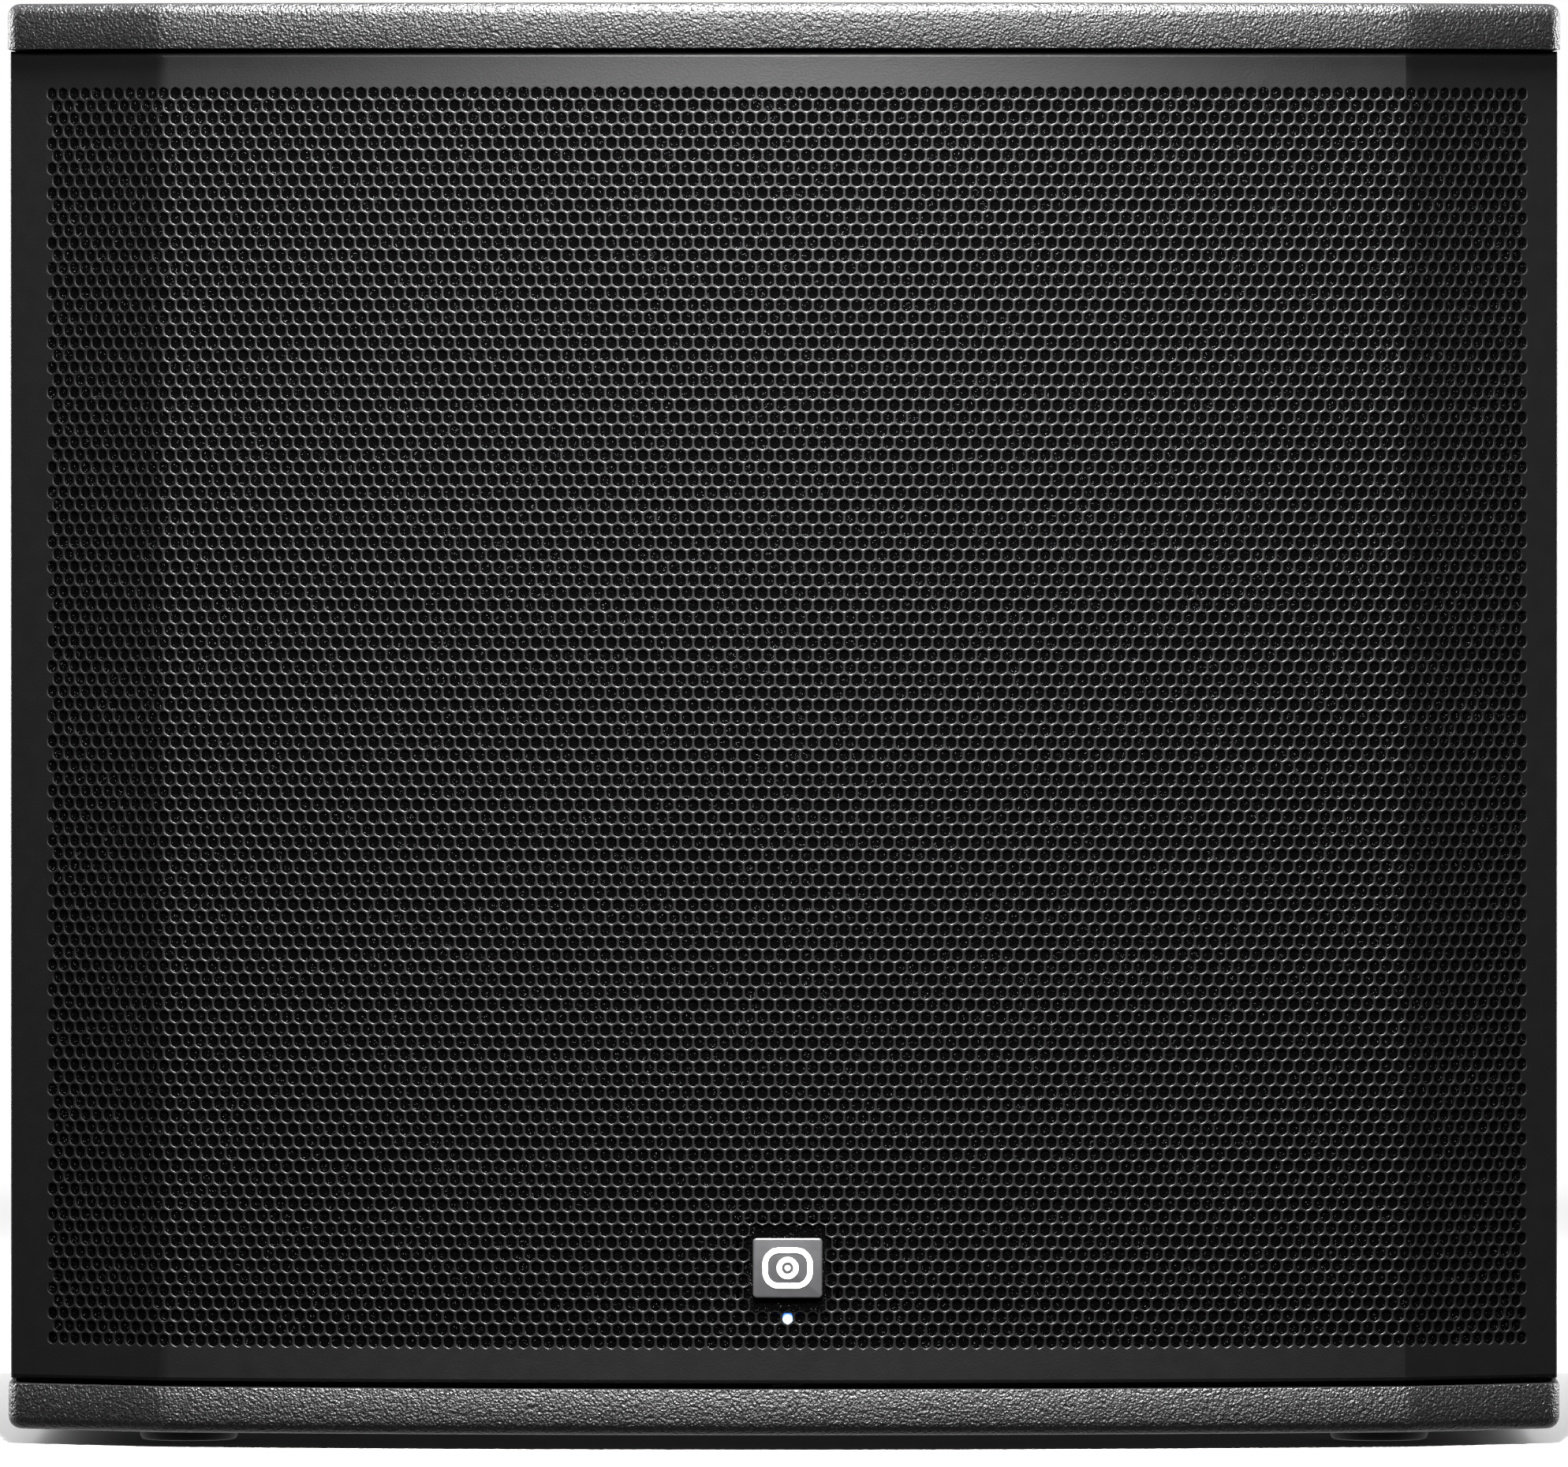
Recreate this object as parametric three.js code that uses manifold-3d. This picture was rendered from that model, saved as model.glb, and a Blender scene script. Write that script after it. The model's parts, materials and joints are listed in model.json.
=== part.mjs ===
/*
 * Powered subwoofer cabinet with an 18 inch driver.
 *
 * A plywood box whose top and bottom boards overhang a bowed, perforated steel
 * grille. Behind the grille lie a foam sheet, the baffle with the driver and
 * four corner ports, and at the back a plate amplifier set in a shallow rim.
 *
 * Units are millimetres. +Z is up, the grille faces -Y, and the origin is on
 * the floor under the middle of the cabinet.
 */
import * as THREE from 'three';
import { mergeVertices } from 'three/addons/utils/BufferGeometryUtils.js';
import Module from 'manifold-3d';

const wasm = await Module();
wasm.setup();

// ---------------------------------------------------------------- dimensions

const FIT = 0.3; // air kept between two pieces that touch

const CABINET = { width: 610, depth: 650, height: 560 };
const PLY = 18;
const EDGE_ROUND = 5; // router radius on the outer edges
const CORNER_ROUND = 9; // radius of the boards' corners seen from above

const FRONT = { arcRadius: 1300, bendX: 245, wingDegrees: 26 };

const GRILLE = {
  sheet: 1.2,
  setBack: 4, // behind the front edge of the top and bottom boards
  flange: 12,
  sideReturn: 26,
  sideInset: 1, // inside the cabinet's width, each side
  gapTop: 1.5,
  gapBottom: 2,
};
const FOAM = { thick: 8, sideMargin: 12 };
const BADGE = { width: 27.2, height: 23.4, thick: 3, corner: 1.2, offsetX: 1.4, aboveBoard: 47.4 };
const BADGE_WINDOW = { width: 30, height: 34.2 };
const BADGE_CARRIER = { rimX: 4, rimZ: 0.6, thick: 1.5 };
const LAMP = { radius: 2.2, belowBadge: 20.2, clearance: 0.8, postWidth: 12, postDepth: 8, postAbove: 5 };

const BAFFLE = { behindWings: 11 };
const BACK = { rim: 25 };
const BRACE = { thick: 15, rail: 40 };
const RABBET = { clearance: 0.6, length: 32 };

const FOOT = {
  radius: 20, height: 6, taper: 1, boreRadius: 6, boreDepth: 3.5,
  fromSide: 70, fromFront: 95, fromBack: 50,
};

const HANDLE = {
  length: 236, height: 126, flange: 2.5, cupLength: 206, cupHeight: 96, cupDepth: 68,
  wall: 3, clearance: 1, corner: 22, barHeight: 26, barDepth: 18, barDrop: 20,
  offsetY: -20, aboveMiddle: 44,
};
const POLE = {
  flangeRadius: 48, flange: 3, edge: 0.8, boreRadius: 18, wall: 3, depth: 82, floor: 14, threadRadius: 9,
  offsetY: 20,
};

const PORT = { boreRadius: 48, wall: 2.5, flareRadius: 58, lip: 3, length: 180, wallClearance: 3 };

const WOOFER = {
  frameRadius: 230, flange: 9, flangeWidth: 24, rimWall: 5, boltInset: 10.5, cutoutClearance: 2,
  seatWidth: 11, seatThick: 3.5, rimDepth: 16,
  rollWidth: 20, rollHeight: 5, coneThick: 2, coneDepth: 66, coilRadius: 50,
  legs: 6, legWidth: 20, legThick: 7,
};
const MOTOR = {
  mountDepth: 107, mountThick: 7, topPlate: 12, magnet: 24, yoke: 14, plateRadius: 100, magnetRadius: 110,
  gapOutside: 3.5, gapInside: 1.5, magnetInset: 10, vent: 14,
};
const SPIDER = { aboveMount: 22, insideLegs: 9.7, seatWidth: 12, seatHeight: 6, seatOverhang: 4 };
const BOLT = {
  count: 8, shankRadius: 3, headRadius: 5.5, headHeight: 6, hexRadius: 2.9, hexDepth: 3.5, length: 40,
  clearance: 0.5,
};

const AMP = {
  width: 240, height: 400, plate: 3, gasket: 2, corner: 6, boxWidth: 208, boxHeight: 366, boxDepth: 90,
  boxWall: 1.2, cutClearance: 3, gasketClearance: 4, aboveMiddle: 4,
};
const SINK = {
  width: 200, height: 172, base: 4, finHeight: 13, finThick: 2.6, fins: 19, aboveMiddle: 92,
};
const BOARD = {
  width: 176, height: 170, thick: 1.6, behindPlate: 42, postRadius: 4, postInset: 7, aboveMiddle: 78,
};
const TOROID = { radius: 44, boreRadius: 14, height: 38, aboveMiddle: 70 };
const SOCKET = {
  width: 26, height: 31, flange: 2, bodyRadius: 11.8, clearance: 0.7, bodyDepth: 26, corner: 3,
};
const JACK = { boreRadius: 4.5, boreDepth: 23 };
const CUP = { boreRadius: 9.6, boreDepth: 13 };
const TAB = { width: 8, height: 3.2, length: 6, proud: 2, inset: 1.5, room: 4 };
const SOCKET_AT = { inputs: [-84, -50], inputV: -42, outputs: [-84, -50], outputV: -88 };
const KNOB = {
  radius: 9, height: 12, shaftRadius: 3, shaftLength: 16, stand: 1.2, u: 8, v: -44,
  ribs: 24, ribDepth: 0.5, pointerWidth: 1.2, pointerDepth: 0.6,
};
const BUTTON = { radius: 3.5, proud: 4, stem: 10, clearance: 0.4, u: 52, v: [-38, -58] };
const INLET = {
  width: 50, height: 62, flange: 3, bodyWidth: 46, bodyHeight: 56, bodyDepth: 28, corner: 3,
  u: 66, v: -134,
  pinWidth: 24.4, pinHeight: 16.6, pinDepth: 17, pinDrop: 15,
};
const ROCKER = {
  width: 19, height: 11, depth: 8, tilt: 8, lift: 17, clearance: 1.2, wellDepth: 13, proud: 1.5,
};

const LEAD = { radius: 3.2, sides: 8, steps: 32 };

// ------------------------------------------------------------ derived levels

const half = { x: CABINET.width / 2, y: CABINET.depth / 2 };
const floorOfBottomBoard = FOOT.height;
const innerLow = floorOfBottomBoard + PLY;
const innerHigh = floorOfBottomBoard + CABINET.height - PLY;
const innerHalfX = half.x - PLY;
const innerHeight = innerHigh - innerLow;
const middleZ = (innerLow + innerHigh) / 2;

const wingSlope = Math.tan(THREE.MathUtils.degToRad(FRONT.wingDegrees));
const grilleHalfX = half.x - GRILLE.sideInset;
const wingEndY = frontY(grilleHalfX, GRILLE.setBack);
const baffleFrontY = wingEndY + BAFFLE.behindWings;
const sideFrontY = baffleFrontY - 4;
const backOuterY = half.y - BACK.rim;
const backInnerY = backOuterY - PLY;
const grilleLow = innerLow + GRILLE.gapBottom;
const grilleHigh = innerHigh - GRILLE.gapTop;
const plateInnerY = backOuterY + AMP.gasket + 2 * FIT;
const plateOuterY = plateInnerY + AMP.plate;
const ampZ = middleZ + AMP.aboveMiddle;

// --------------------------------------------------------------- front shape

// Y of the bowed front at a given X, moved `inset` behind the boards' front edge.
// The middle is an arc about one centre; past the bend each wing is straight.
function frontY(x, inset) {
  const centreY = -half.y + FRONT.arcRadius;
  const r = FRONT.arcRadius - inset;
  const bend = bendX(inset);
  const onArc = (u) => centreY - Math.sqrt(r * r - u * u);
  return Math.abs(x) <= bend ? onArc(x) : onArc(bend) + (Math.abs(x) - bend) * wingSlope;
}

// X of the bend on a line moved inwards: the mitre between the arc and the wing.
function bendX(inset) {
  const arcAngle = Math.asin(FRONT.bendX / FRONT.arcRadius);
  const wingAngle = THREE.MathUtils.degToRad(FRONT.wingDegrees);
  const half2 = (wingAngle - arcAngle) / 2;
  const middle = (wingAngle + arcAngle) / 2;
  return FRONT.bendX - (inset / Math.cos(half2)) * Math.sin(middle);
}

// The front line from -endX to +endX as points, left to right.
function frontLine(inset, endX, arcSteps = 16) {
  const bend = bendX(inset);
  const points = [[-endX, frontY(endX, inset)]];
  for (let i = 0; i <= arcSteps; i++) {
    const x = -bend + (2 * bend * i) / arcSteps;
    points.push([x, frontY(x, inset)]);
  }
  points.push([endX, frontY(endX, inset)]);
  return points;
}

// ------------------------------------------------------------- shape helpers

function polygon(points) {
  return new THREE.Shape(points.map(([x, y]) => new THREE.Vector2(x, y)));
}

// A rectangle with rounded corners, centred on (cx, cy).
function roundedRect(width, height, corner, cx = 0, cy = 0) {
  const [x0, x1, y0, y1] = [cx - width / 2, cx + width / 2, cy - height / 2, cy + height / 2];
  const shape = new THREE.Shape();
  shape.moveTo(x0 + corner, y0);
  shape.lineTo(x1 - corner, y0);
  shape.absarc(x1 - corner, y0 + corner, corner, -Math.PI / 2, 0);
  shape.lineTo(x1, y1 - corner);
  shape.absarc(x1 - corner, y1 - corner, corner, 0, Math.PI / 2);
  shape.lineTo(x0 + corner, y1);
  shape.absarc(x0 + corner, y1 - corner, corner, Math.PI / 2, Math.PI);
  shape.lineTo(x0, y0 + corner);
  shape.absarc(x0 + corner, y0 + corner, corner, Math.PI, 1.5 * Math.PI);
  return shape;
}

// A closed mesh as a solid that can be joined and cut.
function solid(geometry) {
  const loose = geometry.index ? geometry.toNonIndexed() : geometry;
  const bare = new THREE.BufferGeometry().setAttribute('position', loose.getAttribute('position'));
  const merged = mergeVertices(bare, 1e-4);
  return new wasm.Manifold(new wasm.Mesh({
    numProp: 3,
    vertProperties: merged.attributes.position.array,
    triVerts: new Uint32Array(merged.index.array),
  }));
}

function join(first, ...others) {
  return others.reduce((sum, next) => sum.add(next), first);
}

function cut(first, ...others) {
  return others.reduce((rest, next) => rest.subtract(next), first);
}

function geometryOf(body) {
  const mesh = body.getMesh();
  const geometry = new THREE.BufferGeometry();
  const position = new Float32Array(mesh.numVert * 3);
  for (let i = 0; i < mesh.numVert; i++) {
    position.set(mesh.vertProperties.subarray(i * mesh.numProp, i * mesh.numProp + 3), i * 3);
  }
  geometry.setAttribute('position', new THREE.BufferAttribute(position, 3));
  geometry.setIndex(new THREE.BufferAttribute(mesh.triVerts, 1));
  geometry.computeVertexNormals();
  return geometry;
}

// A box from its lowest to its highest corner.
function block([x0, y0, z0], [x1, y1, z1]) {
  const geometry = new THREE.BoxGeometry(x1 - x0, y1 - y0, z1 - z0);
  return solid(geometry.translate((x0 + x1) / 2, (y0 + y1) / 2, (z0 + z1) / 2));
}

// A shape drawn in plan (x, y), standing from z0 to z1.
function slab(shape, z0, z1, curveSegments = 6) {
  const options = { depth: z1 - z0, bevelEnabled: false, curveSegments };
  const geometry = new THREE.ExtrudeGeometry(shape, options);
  return solid(geometry.translate(0, 0, z0));
}

// A shape drawn on a wall seen from the front (x, z), from y0 back to y1.
function wall(shape, y0, y1, curveSegments = 6) {
  const options = { depth: y1 - y0, bevelEnabled: false, curveSegments };
  const geometry = new THREE.ExtrudeGeometry(shape, options);
  return solid(geometry.rotateX(Math.PI / 2).translate(0, y1, 0));
}

// A shape drawn on a side wall (y, z), from x0 out to x1.
function sideWall(shape, x0, x1, curveSegments = 6) {
  const options = { depth: x1 - x0, bevelEnabled: false, curveSegments };
  const geometry = new THREE.ExtrudeGeometry(shape, options);
  return solid(geometry.rotateX(Math.PI / 2).rotateZ(Math.PI / 2).translate(x0, 0, 0));
}

// A profile of (radius, height) points turned about the local Y axis.
// A profile off the axis is closed on itself; its direction is put right here.
function turned(profile, segments = 32) {
  const points = profile.map(([r, h]) => new THREE.Vector2(r, h));
  const onAxis = profile[0][0] === 0 && profile[profile.length - 1][0] === 0;
  const outline = onAxis ? points : [...points, points[0].clone()];
  if (THREE.ShapeUtils.area(points) < 0) outline.reverse();
  return solid(new THREE.LatheGeometry(outline, segments));
}

// A plain disc or ring standing along local Y from h0 to h1.
function disc(radius, h0, h1, bore = 0, segments = 32) {
  const profile = bore
    ? [[bore, h0], [radius, h0], [radius, h1], [bore, h1]]
    : [[0, h0], [radius, h0], [radius, h1], [0, h1]];
  return turned(profile, segments);
}

// A turned body stood up, so that its axis is Z.
function upright(body) {
  return solid(geometryOf(body).rotateX(Math.PI / 2));
}

// A disc or ring standing along Z.
function post(radius, z0, z1, bore = 0, segments = 32) {
  return upright(disc(radius, z0, z1, bore, segments));
}

function placed(body, x, y, z) {
  return solid(geometryOf(body).translate(x, y, z));
}

// ------------------------------------------------------------------ finishes

const finish = {
  paint: { color: 0x222222, roughness: 0.75, metalness: 0 },
  barePly: { color: 0xb08a5a, roughness: 0.8, metalness: 0 },
  powderCoat: { color: 0x262624, roughness: 0.5, metalness: 0.3 },
  foam: { color: 0x0c0c0c, roughness: 1, metalness: 0 },
  plastic: { color: 0x1b1b1c, roughness: 0.5, metalness: 0 },
  badge: { color: 0x4d4d4d, roughness: 0.45, metalness: 0.2 },
  lamp: { color: 0x3f7bff, roughness: 0.2, metalness: 0 },
  rubber: { color: 0x151515, roughness: 0.9, metalness: 0 },
  steel: { color: 0x8d8d8f, roughness: 0.35, metalness: 1 },
  blackSteel: { color: 0x1d1d1e, roughness: 0.4, metalness: 0.8 },
  aluminium: { color: 0x9a9b9d, roughness: 0.4, metalness: 1 },
  anodised: { color: 0x161617, roughness: 0.5, metalness: 0.7 },
  paper: { color: 0x141312, roughness: 0.95, metalness: 0 },
  cloth: { color: 0x2a2620, roughness: 0.95, metalness: 0 },
  ferrite: { color: 0x3a3838, roughness: 0.7, metalness: 0.1 },
  circuit: { color: 0x123f24, roughness: 0.5, metalness: 0.1 },
  copper: { color: 0xa8562c, roughness: 0.4, metalness: 0.9 },
};

const root = new THREE.Group();

function add(name, body, look, parent = root) {
  const material = new THREE.MeshStandardMaterial(finish[look]);
  const mesh = new THREE.Mesh(geometryOf(body), material);
  mesh.name = name;
  parent.add(mesh);
  return mesh;
}

// ------------------------------------------------------------- wooden cabinet

// The top and bottom boards share this outline: bowed front, angled wings,
// straight sides and rounded corners.
function boardOutline() {
  const front = frontLine(0, half.x);
  const [left, ...rest] = front;
  const right = rest.pop();
  const wing = THREE.MathUtils.degToRad(FRONT.wingDegrees);
  const shape = new THREE.Shape();
  const along = [CORNER_ROUND * Math.cos(wing), -CORNER_ROUND * Math.sin(wing)];
  shape.moveTo(left[0] + along[0], left[1] + along[1]);
  rest.forEach(([x, y]) => shape.lineTo(x, y));
  shape.lineTo(right[0] - along[0], right[1] + along[1]);
  shape.quadraticCurveTo(right[0], right[1], right[0], right[1] + CORNER_ROUND);
  shape.lineTo(half.x, half.y - CORNER_ROUND);
  shape.quadraticCurveTo(half.x, half.y, half.x - CORNER_ROUND, half.y);
  shape.lineTo(-half.x + CORNER_ROUND, half.y);
  shape.quadraticCurveTo(-half.x, half.y, -half.x, half.y - CORNER_ROUND);
  shape.lineTo(left[0], left[1] + CORNER_ROUND);
  shape.quadraticCurveTo(left[0], left[1], left[0] + along[0], left[1] + along[1]);
  return shape;
}

// A board with its outer edge rounded over on the side away from the cabinet.
function roundedBoard(z0, z1, roundTop) {
  const geometry = new THREE.ExtrudeGeometry(boardOutline(), {
    depth: PLY - EDGE_ROUND,
    bevelThickness: EDGE_ROUND,
    bevelSize: EDGE_ROUND,
    bevelOffset: -EDGE_ROUND,
    bevelSegments: 2,
    curveSegments: 4,
  });
  // The bevel rounds both edges of a thicker board; the inner one is cut away.
  const bottom = roundTop ? z0 : z0 + EDGE_ROUND;
  const whole = solid(geometry.translate(0, 0, bottom));
  const reach = [half.x + 1, half.y + 1];
  return roundTop
    ? cut(whole, block([-reach[0], -reach[1], z0 - EDGE_ROUND - 1], [reach[0], reach[1], z0]))
    : cut(whole, block([-reach[0], -reach[1], z1], [reach[0], reach[1], z1 + EDGE_ROUND + 1]));
}

function addBoards() {
  const topHigh = innerHigh + PLY;
  const flangeSeat = POLE.flangeRadius + 2 * FIT;
  const poleHole = POLE.boreRadius + POLE.wall + 1;
  const top = cut(
    roundedBoard(innerHigh, topHigh, true),
    placed(post(poleHole, innerHigh - 1, topHigh + 1), 0, POLE.offsetY, 0),
    placed(post(flangeSeat, topHigh - POLE.flange - 2 * FIT, topHigh + 1, 0, 40), 0, POLE.offsetY, 0),
  );
  add('top_panel', top, 'paint');
  add('bottom_panel', roundedBoard(floorOfBottomBoard, innerLow, false), 'paint');

  const z = [innerLow + FIT, innerHigh - FIT];
  const y = [sideFrontY, half.y];
  const grow = 2 * (HANDLE.wall + HANDLE.clearance);
  const holeSize = [HANDLE.cupLength + grow, HANDLE.cupHeight + grow];
  const hole = roundedRect(...holeSize, HANDLE.corner, HANDLE.offsetY, handleZ());
  const seatSize = [HANDLE.length + HANDLE.clearance, HANDLE.height + HANDLE.clearance];
  const seat = roundedRect(...seatSize, HANDLE.corner, HANDLE.offsetY, handleZ());
  for (const [name, side] of [['left_panel', -1], ['right_panel', 1]]) {
    const plain = side > 0
      ? block([innerHalfX, y[0], z[0]], [half.x, y[1], z[1]])
      : block([-half.x, y[0], z[0]], [-innerHalfX, y[1], z[1]]);
    const outer = half.x * side;
    const rebateInner = outer - (GRILLE.sideInset + GRILLE.sheet + RABBET.clearance) * side;
    const rebate = block(
      [Math.min(rebateInner, outer + side), y[0] - 1, z[0] - 1],
      [Math.max(rebateInner, outer + side), y[0] + RABBET.length, z[1] + 1],
    );
    const seatInner = outer - (HANDLE.flange + 2 * FIT) * side;
    const through = sideWall(hole, Math.min(0, outer * 2), Math.max(0, outer * 2));
    const sunk = sideWall(seat, Math.min(seatInner, outer + side), Math.max(seatInner, outer + side));
    add(name, cut(plain, rebate, through, sunk), 'paint');
  }

  const boardHalf = innerHalfX - FIT;
  const baffleShape = roundedRect(2 * boardHalf, innerHeight - 2 * FIT, 0.5, 0, middleZ);
  const baffleCuts = [wooferCutout(), ...portCentres().map(([x, zc]) => portHole(x, zc)), ...boltHoles()];
  add('baffle', cut(wall(baffleShape, baffleFrontY, baffleFrontY + PLY, 1), ...baffleCuts), 'paint');

  const ampHole = roundedRect(AMP.boxWidth + 2 * AMP.cutClearance, AMP.boxHeight + 2 * AMP.cutClearance,
    AMP.corner, 0, ampZ);
  add('back_panel', cut(
    wall(baffleShape, backInnerY, backOuterY, 1),
    wall(ampHole, backInnerY - 1, backOuterY + 1, 3),
  ), 'paint');

  const handleRear = HANDLE.offsetY + HANDLE.length / 2;
  const braceY = (handleRear + backInnerY) / 2 - BRACE.thick / 2;
  const window = roundedRect(2 * (boardHalf - BRACE.rail), innerHeight - 2 * BRACE.rail, 30, 0, middleZ);
  add('window_brace', cut(
    wall(baffleShape, braceY, braceY + BRACE.thick, 1),
    wall(window, braceY - 1, braceY + BRACE.thick + 1, 3),
  ), 'barePly');
}

// -------------------------------------------------------------------- grille

// The sheet's plan line with its side returns, `depth` behind the outer face.
function grillePlan(depth, returnEnd) {
  const endX = grilleHalfX - depth;
  const line = frontLine(GRILLE.setBack + depth, endX);
  return [[-endX, returnEnd], ...line, [endX, returnEnd]];
}

function grilleBand(z0, z1) {
  const returnEnd = wingEndY + GRILLE.sideReturn;
  const outer = grillePlan(0, returnEnd);
  const inner = grillePlan(GRILLE.sheet, returnEnd).reverse();
  return slab(polygon([...outer, ...inner]), z0, z1, 1);
}

// The folded edge along the top or bottom; it stops short of the side boards.
function grilleFlange(z0) {
  const outer = frontLine(GRILLE.setBack, grilleHalfX);
  const inner = frontLine(GRILLE.setBack + GRILLE.flange, innerHalfX - 1).reverse();
  return slab(polygon([...outer, ...inner]), z0, z0 + GRILLE.sheet, 1);
}

function badgeZ() {
  return innerLow + BADGE.aboveBoard;
}

function addGrille() {
  const faceY = frontY(0, GRILLE.setBack);
  const window = roundedRect(BADGE_WINDOW.width, BADGE_WINDOW.height, 0.5, BADGE.offsetX, badgeZ());
  const windowCut = wall(window, faceY - 5, faceY + 5, 1);
  const lampZ = badgeZ() - LAMP.belowBadge;
  const sheet = join(
    grilleBand(grilleLow, grilleHigh),
    grilleFlange(grilleLow),
    grilleFlange(grilleHigh - GRILLE.sheet),
  );
  add('grille', cut(sheet, windowCut), 'powderCoat');

  const foamInset = GRILLE.setBack + GRILLE.sheet + FIT;
  const foamEnd = grilleHalfX - FOAM.sideMargin;
  const carrierWidth = BADGE_WINDOW.width + 2 * BADGE_CARRIER.rimX;
  const carrierHeight = BADGE_WINDOW.height + 2 * BADGE_CARRIER.rimZ;
  const pocket = roundedRect(carrierWidth + 2, carrierHeight + 2, 1, BADGE.offsetX, badgeZ());
  const carrierCut = wall(pocket, faceY, faceY + 40, 1);
  const lensCut = placed(disc(LAMP.radius + LAMP.clearance, -1, 40, 0, 12), BADGE.offsetX, faceY, lampZ);
  const foamFront = frontLine(foamInset, foamEnd);
  const foamBack = frontLine(foamInset + FOAM.thick, foamEnd).reverse();
  const foamLevels = [grilleLow + GRILLE.sheet + FIT, grilleHigh - GRILLE.sheet - FIT];
  const foam = slab(polygon([...foamFront, ...foamBack]), ...foamLevels, 1);
  add('grille_foam', cut(foam, carrierCut, lensCut), 'foam');

  // The badge stands in its window on a carrier glued behind the sheet.
  const carrierY = faceY + GRILLE.sheet + 2 * FIT;
  const plate = roundedRect(carrierWidth, carrierHeight, 1, BADGE.offsetX, badgeZ());
  add('badge_carrier', wall(plate, carrierY, carrierY + BADGE_CARRIER.thick, 2), 'plastic');
  const plaque = roundedRect(BADGE.width, BADGE.height, BADGE.corner, BADGE.offsetX, badgeZ());
  add('badge', wall(plaque, carrierY - FIT - BADGE.thick, carrierY - FIT, 4), 'badge');

  const lampFront = faceY + GRILLE.sheet + FIT;
  const lampBack = faceY + GRILLE.flange + FIT;
  add('led_lens', placed(turned([
    [0, lampFront], [LAMP.radius * 0.6, lampFront + 0.5], [LAMP.radius, lampFront + 1.8],
    [LAMP.radius, lampBack], [0, lampBack],
  ], 16), BADGE.offsetX, 0, lampZ), 'lamp');
  add('led_holder', block(
    [BADGE.offsetX - LAMP.postWidth / 2, lampBack + FIT, innerLow + FIT],
    [BADGE.offsetX + LAMP.postWidth / 2, lampBack + FIT + LAMP.postDepth, lampZ + LAMP.postAbove],
  ), 'plastic');
}

// ------------------------------------------------------- handles, pole, feet

function handleZ() {
  return middleZ + HANDLE.aboveMiddle;
}

// One handle for the right side: a flanged cup with a grip bar across its mouth.
function handleBody() {
  const face = half.x - FIT;
  const inner = face - HANDLE.flange;
  const cup = (grow) => roundedRect(HANDLE.cupLength + 2 * grow, HANDLE.cupHeight + 2 * grow,
    HANDLE.corner - HANDLE.wall + grow, 0, 0);
  const flange = sideWall(roundedRect(HANDLE.length, HANDLE.height, HANDLE.corner), inner, face, 4);
  const shell = sideWall(cup(HANDLE.wall), face - HANDLE.cupDepth - HANDLE.wall, face, 4);
  const hollow = sideWall(cup(0), face - HANDLE.cupDepth, face + 1, 4);
  const barZ = HANDLE.cupHeight / 2 - HANDLE.barDrop - HANDLE.barHeight / 2;
  const section = roundedRect(HANDLE.barDepth, HANDLE.barHeight, HANDLE.barDepth / 2 - 0.5,
    face - HANDLE.barDepth / 2, barZ);
  const reach = HANDLE.cupLength / 2 + HANDLE.wall / 2;
  return join(cut(join(flange, shell), hollow), wall(section, -reach, reach, 4));
}

function addHandles() {
  const right = add('handle_right', handleBody(), 'plastic');
  right.position.set(0, HANDLE.offsetY, handleZ());
  const left = add('handle_left', handleBody(), 'plastic');
  left.position.copy(right.position);
  left.scale.x = -1;
}

function addPoleSocket() {
  const high = innerHigh + PLY - FIT;
  const tube = POLE.boreRadius + POLE.wall;
  const bottom = high - POLE.depth - POLE.floor;
  const profile = [
    [POLE.threadRadius, bottom], [tube, bottom], [tube, high - POLE.flange],
    [POLE.flangeRadius, high - POLE.flange], [POLE.flangeRadius, high - POLE.edge],
    [POLE.flangeRadius - POLE.edge, high], [POLE.boreRadius + POLE.edge, high],
    [POLE.boreRadius, high - POLE.edge], [POLE.boreRadius, bottom + POLE.floor],
    [POLE.threadRadius, bottom + POLE.floor],
  ];
  add('pole_socket', upright(turned(profile, 24)), 'blackSteel').position.y = POLE.offsetY;
}

function addFeet() {
  const x = half.x - FOOT.fromSide;
  const places = {
    foot_front_left: [-x, -half.y + FOOT.fromFront], foot_front_right: [x, -half.y + FOOT.fromFront],
    foot_rear_left: [-x, half.y - FOOT.fromBack], foot_rear_right: [x, half.y - FOOT.fromBack],
  };
  const top = FOOT.height - FIT;
  const profile = [
    [0, 0], [FOOT.radius - 2 * FOOT.taper, 0], [FOOT.radius - FOOT.taper, FOOT.taper],
    [FOOT.radius, top], [0, top],
  ];
  for (const [name, [fx, fy]] of Object.entries(places)) {
    const pad = cut(turned(profile, 20), disc(FOOT.boreRadius, -1, FOOT.boreDepth, 0, 12));
    add(name, upright(pad), 'rubber').position.set(fx, fy, 0);
  }
}

// --------------------------------------------------------------------- ports

function portCentres() {
  const x = innerHalfX - PORT.flareRadius - PORT.wallClearance;
  const z = innerHeight / 2 - PORT.flareRadius - PORT.wallClearance;
  return [[-x, middleZ + z], [x, middleZ + z], [-x, middleZ - z], [x, middleZ - z]];
}

function portHole(x, z) {
  const radius = PORT.boreRadius + PORT.wall + 0.5;
  return placed(disc(radius, baffleFrontY - 1, baffleFrontY + PLY + 1, 0, 28), x, 0, z);
}

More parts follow.
